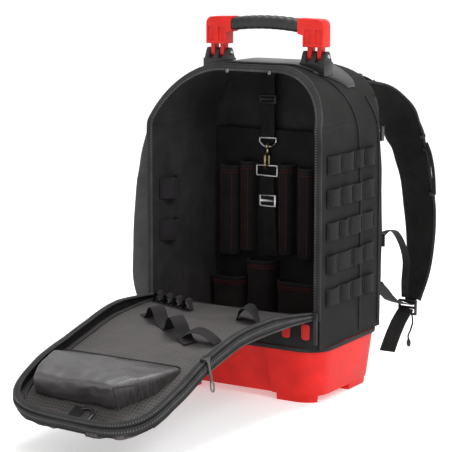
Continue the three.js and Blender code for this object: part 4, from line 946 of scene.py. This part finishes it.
def make_harness(side):
    """Small webbing, slides and cord of one shoulder strap."""
    word = "right" if side > 0 else "left"
    line, across = strap_frame(70)
    ahead = directions(line)
    side_way = unit(across - ahead * (across * ahead).sum(1)[:, None])
    lifter = spline([(0.080, 0.1086, 0.474), (0.083, 0.128, 0.482), (0.090, 0.162, 0.476),
                     (0.101, 0.196, 0.457), (0.104, 0.212, 0.447)], 24)
    dress(band_of(f"load_lifter_{word}", flip(lifter, side),
                  flip(np.broadcast_to([0.3, 0, 0.95], lifter.shape), side), 0.020, 0.0018),
          WEBBING)
    d = directions(lifter)
    for k, (at, size) in enumerate(((7, (0.020, 0.027, 0.0065)), (15, (0.012, 0.026, 0.0055)))):
        clip_box(f"lifter_slide_{word}_{k + 1}", flip(lifter[at], side), flip(d[at], side),
                 flip([0.3, 0, 0.95], side), size)
    sign = 1 if side_way[40] @ np.array([0.85, 0.52, 0]) > 0 else -1
    for k, at in enumerate((34, 41, 57)):
        rim = line[at] + side_way[at] * sign * 0.030
        clip_box(f"strap_clip_{word}_{k + 1}", flip(rim, side), flip(ahead[at], side),
                 flip(side_way[at], side), (0.013, 0.014, 0.018))
    chest = spline([line[at] + side_way[at] * sign * off for at, off in
                    ((38, 0.034), (44, 0.0375), (51, 0.0375), (57, 0.034))], 26)
    dress(band_of(f"chest_slide_web_{word}", flip(chest, side),
                  flip(np.broadcast_to(side_way[46], chest.shape), side), 0.006, 0.0045), WEBBING)
    loop = spline([(0.148, 0.1090, 0.232), (0.146, 0.140, 0.238), (0.140, 0.182, 0.230),
                   (0.134, 0.222, 0.203), (0.131, 0.245, 0.170), (0.128, 0.248, 0.132),
                   (0.127, 0.252, 0.105)], 40)
    dress(band_of(f"compression_web_{word}", flip(loop, side),
                  flip(np.broadcast_to([1, 0, 0.1], loop.shape), side), 0.013, 0.0016), WEBBING)
    clip_box(f"back_edge_clip_{word}", flip((0.1535, 0.1010, 0.402), side), (0, 0, 1), (0, 1, 0),
             (0.026, 0.012, 0.007))
    clip_box(f"web_anchor_{word}", flip((0.147, 0.1125, 0.228), side), (0, 0, 1), (1, 0, 0),
             (0.024, 0.020, 0.006))
    cord = spline([(0.136, 0.2600, 0.078), (0.1375, 0.2620, 0.062), (0.1350, 0.2600, 0.048),
                   (0.1325, 0.2560, 0.038), (0.1350, 0.2530, 0.031)], 24)
    pull = dress(piping(f"lock_cord_{word}", flip(cord, side), 0.0016), WEBBING)
    ring = [(0.135 + 0.0020 * math.cos(a), 0.2530, 0.0262 + 0.0052 * math.sin(a))
            for a in np.linspace(0, 2 * math.pi, 18, endpoint=False)]
    end = dress(piping(f"cord_ring_{word}", flip(ring, side), 0.0021, loop=True), BLACK_PLASTIC)


# ---- Flap ---------------------------------------------------------------------------------------

FLAP_LENGTH, FLAP_HALF, FLAP_TAPER = 0.445, 0.1466, 0.030
FLAP_ROUND, FLAP_POWER, FLAP_THICK = 0.795, 3.45, 0.005
DROOP = ((0.00, -2.6, 0), (0.30, 3.1, 0.5), (0.45, 11.9, 2), (0.60, 14.9, 1), (0.75, 19.6, -3),
         (0.90, 24.8, -3), (1.00, 24.8, -3))


def droop(share):
    at = [d[0] for d in DROOP]
    return (math.radians(np.interp(share, at, [d[1] for d in DROOP])),
            math.radians(np.interp(share, at, [d[2] for d in DROOP])))


def flap_table():
    """Places down the flap's middle line, once for all its pieces."""
    y, z, steps = -HALF_DEPTH - 0.001, SILL_TOP, 400
    line = [(y, z)]
    for i in range(steps):
        slope, _ = droop((i + 0.5) / steps)
        y -= math.cos(slope) * FLAP_LENGTH / steps
        z -= math.sin(slope) * FLAP_LENGTH / steps
        line.append((y, z))
    return np.array(line)


FLAP_LINE = flap_table()


def flap_frame(share):
    at = np.array([0, *[np.interp(share, np.linspace(0, 1, len(FLAP_LINE)), FLAP_LINE[:, k])
                        for k in (0, 1)]])
    slope, roll = droop(share)
    ahead = np.array([0, -math.cos(slope), -math.sin(slope)])
    across = np.array([math.cos(roll), 0, math.sin(roll)]) - ahead * math.sin(roll) * ahead[2]
    across = unit(across)
    up = np.cross(ahead, across)
    return at, across, up if up[2] > 0 else -up


def flap_half(share, inset=0.0):
    end = 1 - inset / FLAP_LENGTH
    into = max((share - FLAP_ROUND) / (end - FLAP_ROUND), 0)
    full = FLAP_HALF - inset - FLAP_TAPER * min(share, 1)
    return max(full * max(1 - into ** FLAP_POWER, 0) ** (1 / FLAP_POWER), 0.0003)


def flap_point(x, share, height):
    """A point by its place across, its share of the flap's length and its height over it."""
    at, across, up = flap_frame(share)
    return at + across * x + up * (FLAP_THICK + height)


def flap_edge(inset, height, count):
    """The flap's edge from its right hinge end round the tip to its left hinge end."""
    end = 1 - inset / FLAP_LENGTH
    shares = np.concatenate([np.linspace(0, FLAP_ROUND, 60),
                             FLAP_ROUND + (end - FLAP_ROUND) * np.sin(np.linspace(
                                 0, math.pi / 2, 60))[1:]])
    rise = height if callable(height) else (lambda s: height)
    right = [flap_point(flap_half(s, inset), s, rise(s)) for s in shares]
    left = [flap_point(-flap_half(s, inset), s, rise(s)) for s in reversed(shares)]
    return even(right + left, count)


GUSSET_LOW, GUSSET_RISE, GUSSET_SHARE = 0.004, 0.011, 0.25


def gusset_rise(share):
    """How high the flap's side wall stands: low at the hinge, full a quarter of the way out."""
    return GUSSET_LOW + GUSSET_RISE * min(max(share, 0) / GUSSET_SHARE, 1)


def make_flap():
    shares = np.concatenate([np.linspace(0, FLAP_ROUND, 46),
                             FLAP_ROUND + (0.9995 - FLAP_ROUND) * np.sin(np.linspace(
                                 0, math.pi / 2, 26))[1:]])
    lift = FLAP_THICK / 2
    rows = []
    for s in shares:
        half = flap_half(s) - 0.001
        row = []
        for a in np.linspace(-1, 1, 64):
            x = half * math.sin(a * math.pi / 2)
            row.append(flap_point(x, s, -lift))
        rows.append(row)
    panel = thicken(sheet_of("flap_lining", rows), FLAP_THICK)

    def loose(p):
        share = min(max((-HALF_DEPTH - p[1]) / 0.43, 0), 1)
        return 0.35 + 0.65 * share ** 2

    ripple(panel, 0.0022, 0.045, 5.0, -0.8, 0.5, hold=loose)
    ripple(panel, 0.0075, 0.030, 8.0, -0.9, 0.3, hold=lambda p: max(loose(p) - 0.74, 0) * 3.2)
    dress(smooth(panel, 50), RIPSTOP, replaced="flap_panel")
    wall = [flap_edge(inset + 0.0016, lambda s, k=share_up: 0.0003 + gusset_rise(s) * k, 260)
            for inset, share_up in ((0.0000, 0.0), (-0.0006, 0.35), (-0.0004, 0.7), (0.0, 1.0))]
    side = thicken(sheet_of("flap_side_wall", wall), 0.0030)
    dress(smooth(side, 60), SIDE_CLOTH, replaced="flap_gusset")
    tape = [flap_edge(inset, lambda s, k=lift2: 0.0006 + gusset_rise(s) + k, 260)
            for inset, lift2 in ((0.0, 0.0), (0.0012, 0.0014), (0.004, 0.0019), (0.0075, 0.0017),
                                 (0.0098, 0.0008))]
    band = thicken(sheet_of("flap_zip_band", tape), 0.0010)
    dress(smooth(band, 60), ZIP_CLOTH, replaced="flap_zip_tape")
    edge = flap_edge(0.0015, lambda s: gusset_rise(s) + 0.0022, 420)
    ups = np.broadcast_to(np.array([0, -0.2, 1.0]), edge.shape)
    tooth = grain_box(0.0021, 0.0030, 0.0014, 0.0003)
    dress(repeat("flap_zip_teeth", tooth, along(edge, ups, TOOTH_PITCH)), TEETH)
    tape_rows = [flap_edge(-0.0008, lambda s, k=k: gusset_rise(s) * k, 260)
                 for k in (0.12, 0.40, 0.62, 0.84)]
    dress(smooth(thicken(sheet_of("flap_wall_tape", tape_rows), 0.0008), 60), ZIP_CLOTH)
    run = flap_edge(-0.0014, lambda s: gusset_rise(s) * 0.5, 420)
    out = unit(np.cross(directions(run), np.array([0, -0.2, 1.0])))
    if (out * (run - run.mean(0))).sum() < 0:
        out = -out
    dress(repeat("flap_wall_teeth", tooth, along(run, out, TOOTH_PITCH)), TEETH)
    remove(tooth)
    low_edge = flap_edge(0.0008, -0.0012, 240)
    dress(piping("flap_outer_piping", low_edge, 0.0019), BINDING)
    seam = flap_edge(0.013, 0.0016, 240)
    dress(piping("flap_inner_piping", seam, 0.0016), PALE_PIPING_AND_HIGHLIGHT)
    hinge = [(x, -HALF_DEPTH - 0.0004, SILL_TOP + 0.0030 + 0.0006 * math.sin(x * 70))
             for x in np.linspace(-0.141, 0.141, 60)]
    dress(piping("hinge_binding", hinge, 0.0028), BINDING)


FLAP_POCKET_RISE = 0.038
# Columns: share of the flap's length, left and right ends, height at each as shares of the rise
FLAP_POCKET = ((0.640, -0.112, 0.088, 0.16, 0.16), (0.700, -0.110, 0.088, 0.42, 0.46),
               (0.750, -0.107, 0.084, 0.62, 0.68), (0.820, -0.098, 0.064, 0.78, 0.90),
               (0.868, -0.088, 0.047, 0.78, 1.00))


def behind_mouth(p):
    """How freely the pocket's cloth may crumple: held at its mouth, loose further out."""
    return min(max((-0.394 - p[1]) / 0.03, 0), 1)


def make_flap_pocket():
    table = np.array(FLAP_POCKET)
    rows = []

    def row(share, drop=1.0):
        _, left, right, low, high = [np.interp(share, table[:, 0], table[:, k]) for k in range(5)]
        line = []
        marks = [0.0, 0.0, 0.02] + list(np.linspace(0.06, 0.94, 16)) + [0.98, 1.0, 1.0]
        for k, a in enumerate(marks):
            height = FLAP_POCKET_RISE * (low + (high - low) * a ** 1.4)
            height *= 1 + 0.05 * math.sin(a * math.pi)
            if k in (0, len(marks) - 1):
                height = 0.0008
            if k in (1, len(marks) - 2):
                height *= 0.72
            line.append(flap_point(left + (right - left) * a, share, max(height * drop, 0.0008)))
        return line

    for share in np.linspace(0.640, 0.866, 14):
        rows.append(row(share))
    for share, drop in ((0.8695, 0.93), (0.871, 0.70), (0.872, 0.40), (0.873, 0.02)):
        rows.append(row(share, drop))
    pocket = sheet_of("flap_box_pocket", rows)
    modify(pocket, "SUBSURF", levels=1, render_levels=1)
    ripple(pocket, 0.0052, 0.042, 9.0, -0.9, 0.7, hold=behind_mouth)
    ripple(pocket, 0.0020, 0.017, 4.0, -0.8, 0.5, hold=behind_mouth)
    thicken(pocket, 0.0016)
    dress(smooth(pocket, 60), POCKET_CLOTH, replaced="flap_pocket")
    corner = [flap_point(0.0475, 0.8725, h) for h in np.linspace(0.0015, 0.0345, 12)]
    corner += [flap_point(0.0475 + 0.030 * t, 0.8700 - 0.04 * t, 0.0362 - 0.001 * t)
               for t in np.linspace(0, 1, 10)]
    dress(piping("pocket_corner_piping", corner, 0.0013), PALE_PIPING_AND_HIGHLIGHT)
    mouth = np.array(row(0.641)[1:-1])
    _, _, up = flap_frame(0.641)
    dress(piping("pocket_mouth_piping", mouth + up * 0.0008, 0.0020), BINDING)
    run = np.array(row(0.662)[2:-2])
    stitches("pocket_mouth_stitches", run + up * 0.0016, up, GREY_THREAD)


def make_elastic():
    route = ((0, 0.0012), (0.09, 0.0012), (0.15, 0.009), (0.19, 0.018), (0.25, 0.023),
             (0.31, 0.018), (0.35, 0.009), (0.41, 0.0012), (0.53, 0.0012), (0.59, 0.010),
             (0.645, 0.022), (0.725, 0.029), (0.805, 0.022), (0.86, 0.010), (0.92, 0.0012),
             (1, 0.0012))
    start, end = np.array([-0.085, 0.112]), np.array([0.058, 0.208])
    points = []
    for t, height in route:
        at = start + (end - start) * t
        points.append(flap_point(at[0], at[1] / FLAP_LENGTH, max(height, 0.0018)))
    line = spline(points, 90)
    _, across, up = flap_frame(0.35)
    ahead = -np.cross(up, across)
    ahead = ahead if ahead[1] < 0 else -ahead
    run = unit(end - start)
    side = -across * run[1] + ahead * run[0]
    band = band_of("flap_tool_elastic", line, np.broadcast_to(side, line.shape), 0.022, 0.0016)
    dress(band, ELASTIC, replaced="flap_elastic")


def make_flap_loops():
    """Elastic loops and a gaping sleeve near the hinge."""
    for name, start, end, humps, height, width in (
            ("hinge_loops_left", (-0.128, 0.060), (-0.034, 0.140), 4, 0.013, 0.020),
            ("hinge_sleeve_right", (0.052, 0.150), (0.100, 0.200), 1, 0.017, 0.032),
            ("side_loop_right", (0.034, 0.430), (0.098, 0.448), 1, 0.015, 0.022)):
        start, end = np.array(start), np.array(end)
        points = []
        for t in np.linspace(0, 1, 16 * humps + 1):
            at = start + (end - start) * t
            rise = abs(math.sin(t * humps * math.pi)) ** 0.8
            points.append(flap_point(at[0], at[1], 0.0018 + height * rise))
        _, across, up = flap_frame((start[1] + end[1]) / 2)
        ahead = np.cross(up, across)
        run = unit((end - start) * np.array([1, FLAP_LENGTH]))
        way = -across * run[1] + ahead * run[0]
        dress(band_of(f"flap_{name}", points, np.broadcast_to(way, (len(points), 3)), width,
                      0.0015), ELASTIC)


def make_flap_ring():
    fitted("flap_ring", "flap_steel_ring", 0.0010, DARK_STEEL, segments=3)
    tab = [flap_point(-0.006, s, 0.0022) for s in np.linspace(0.900, 0.965, 8)]
    _, across, _ = flap_frame(0.93)
    dress(band_of("flap_ring_tab", tab, np.broadcast_to(across, (8, 3)), 0.018, 0.0022), WEBBING)


def make_pulls():
    for node, name in (("zip_pull_right", "opening_zip_pull"), ("flap_zip_pull", "flap_pull")):
        fitted(node, name, 0.0006, BLACK_PLASTIC)
    _, across, up = flap_frame(0.62)
    ahead = np.cross(up, across)
    foot = flap_point(flap_half(0.62) + 0.0030, 0.62, -0.0230)
    oval = [foot + ahead * 0.0042 * math.cos(a) + up * 0.0085 * math.sin(a)
            for a in np.linspace(0, 2 * math.pi, 26, endpoint=False)]
    dress(piping("flap_pull_ring", oval, 0.0013, loop=True), DARK_STEEL)


def make_tabs():
    for i in range(1, 5):
        fitted(f"sill_tab_{i}", f"red_tab_{i}", 0.0007, RED_TAB)


make_body()
make_opening_zip()
make_side_seams()
make_rivets()
make_tray()
make_top()
make_inside()
make_hanging_strap()
make_pouch()
make_webbing_rows()
for pad_node, pad_name, pad_channels in (
        ("back_pad_right", "back_cushion_right", (0.22, 0.29, 0.36)),
        ("back_pad_left", "back_cushion_left", (0.22, 0.29, 0.36)),
        ("lumbar_pad", "lumbar_cushion", ())):
    make_pad(pad_node, pad_name, pad_channels)
make_strap(1)
make_strap(-1)
make_harness(1)
make_harness(-1)
make_flap()
make_flap_pocket()
make_elastic()
make_flap_loops()
make_flap_ring()
make_pulls()
make_tabs()


# ---- Floor and light ----------------------------------------------------------------------------

def make_stage():
    bpy.ops.object.select_all(action="DESELECT")
    bpy.ops.mesh.primitive_plane_add(size=90, location=(0, 0, 0))
    floor = bpy.context.object
    floor.name = "floor"
    finish, tree, _ = start_finish("pale_floor")
    end_finish(tree, (0.90, 0.90, 0.90, 1), 0.8, Emission_Strength=0.36,
               Emission_Color=(1, 1, 1, 1), Specular_IOR_Level=0.1)
    floor.data.materials.append(finish)
    world = bpy.data.worlds.new("studio")
    bpy.context.scene.world = world
    world.use_nodes = True
    world.node_tree.nodes["Background"].inputs[0].default_value = (1, 1, 1, 1)
    world.node_tree.nodes["Background"].inputs[1].default_value = 0.78
    for name, spot, aim, size, watts in (
            ("key_light", (2.2, -1.3, 2.1), (0, 0, 0.25), 1.2, 38),
            ("top_light", (0.1, 0.5, 2.6), (0, -0.1, 0.3), 1.4, 52),
            ("front_light", (-1.4, -2.6, 1.6), (0, -0.2, 0.2), 1.6, 2)):
        light = bpy.data.lights.new(name, "AREA")
        light.size = size
        light.energy = watts
        lamp = bpy.data.objects.new(name, light)
        lamp.location = spot
        lamp.rotation_euler = (Vector(aim) - Vector(spot)).to_track_quat("-Z", "Y").to_euler()
        bpy.context.scene.collection.objects.link(lamp)
    bpy.context.scene.view_settings.view_transform = "Standard"


make_stage()
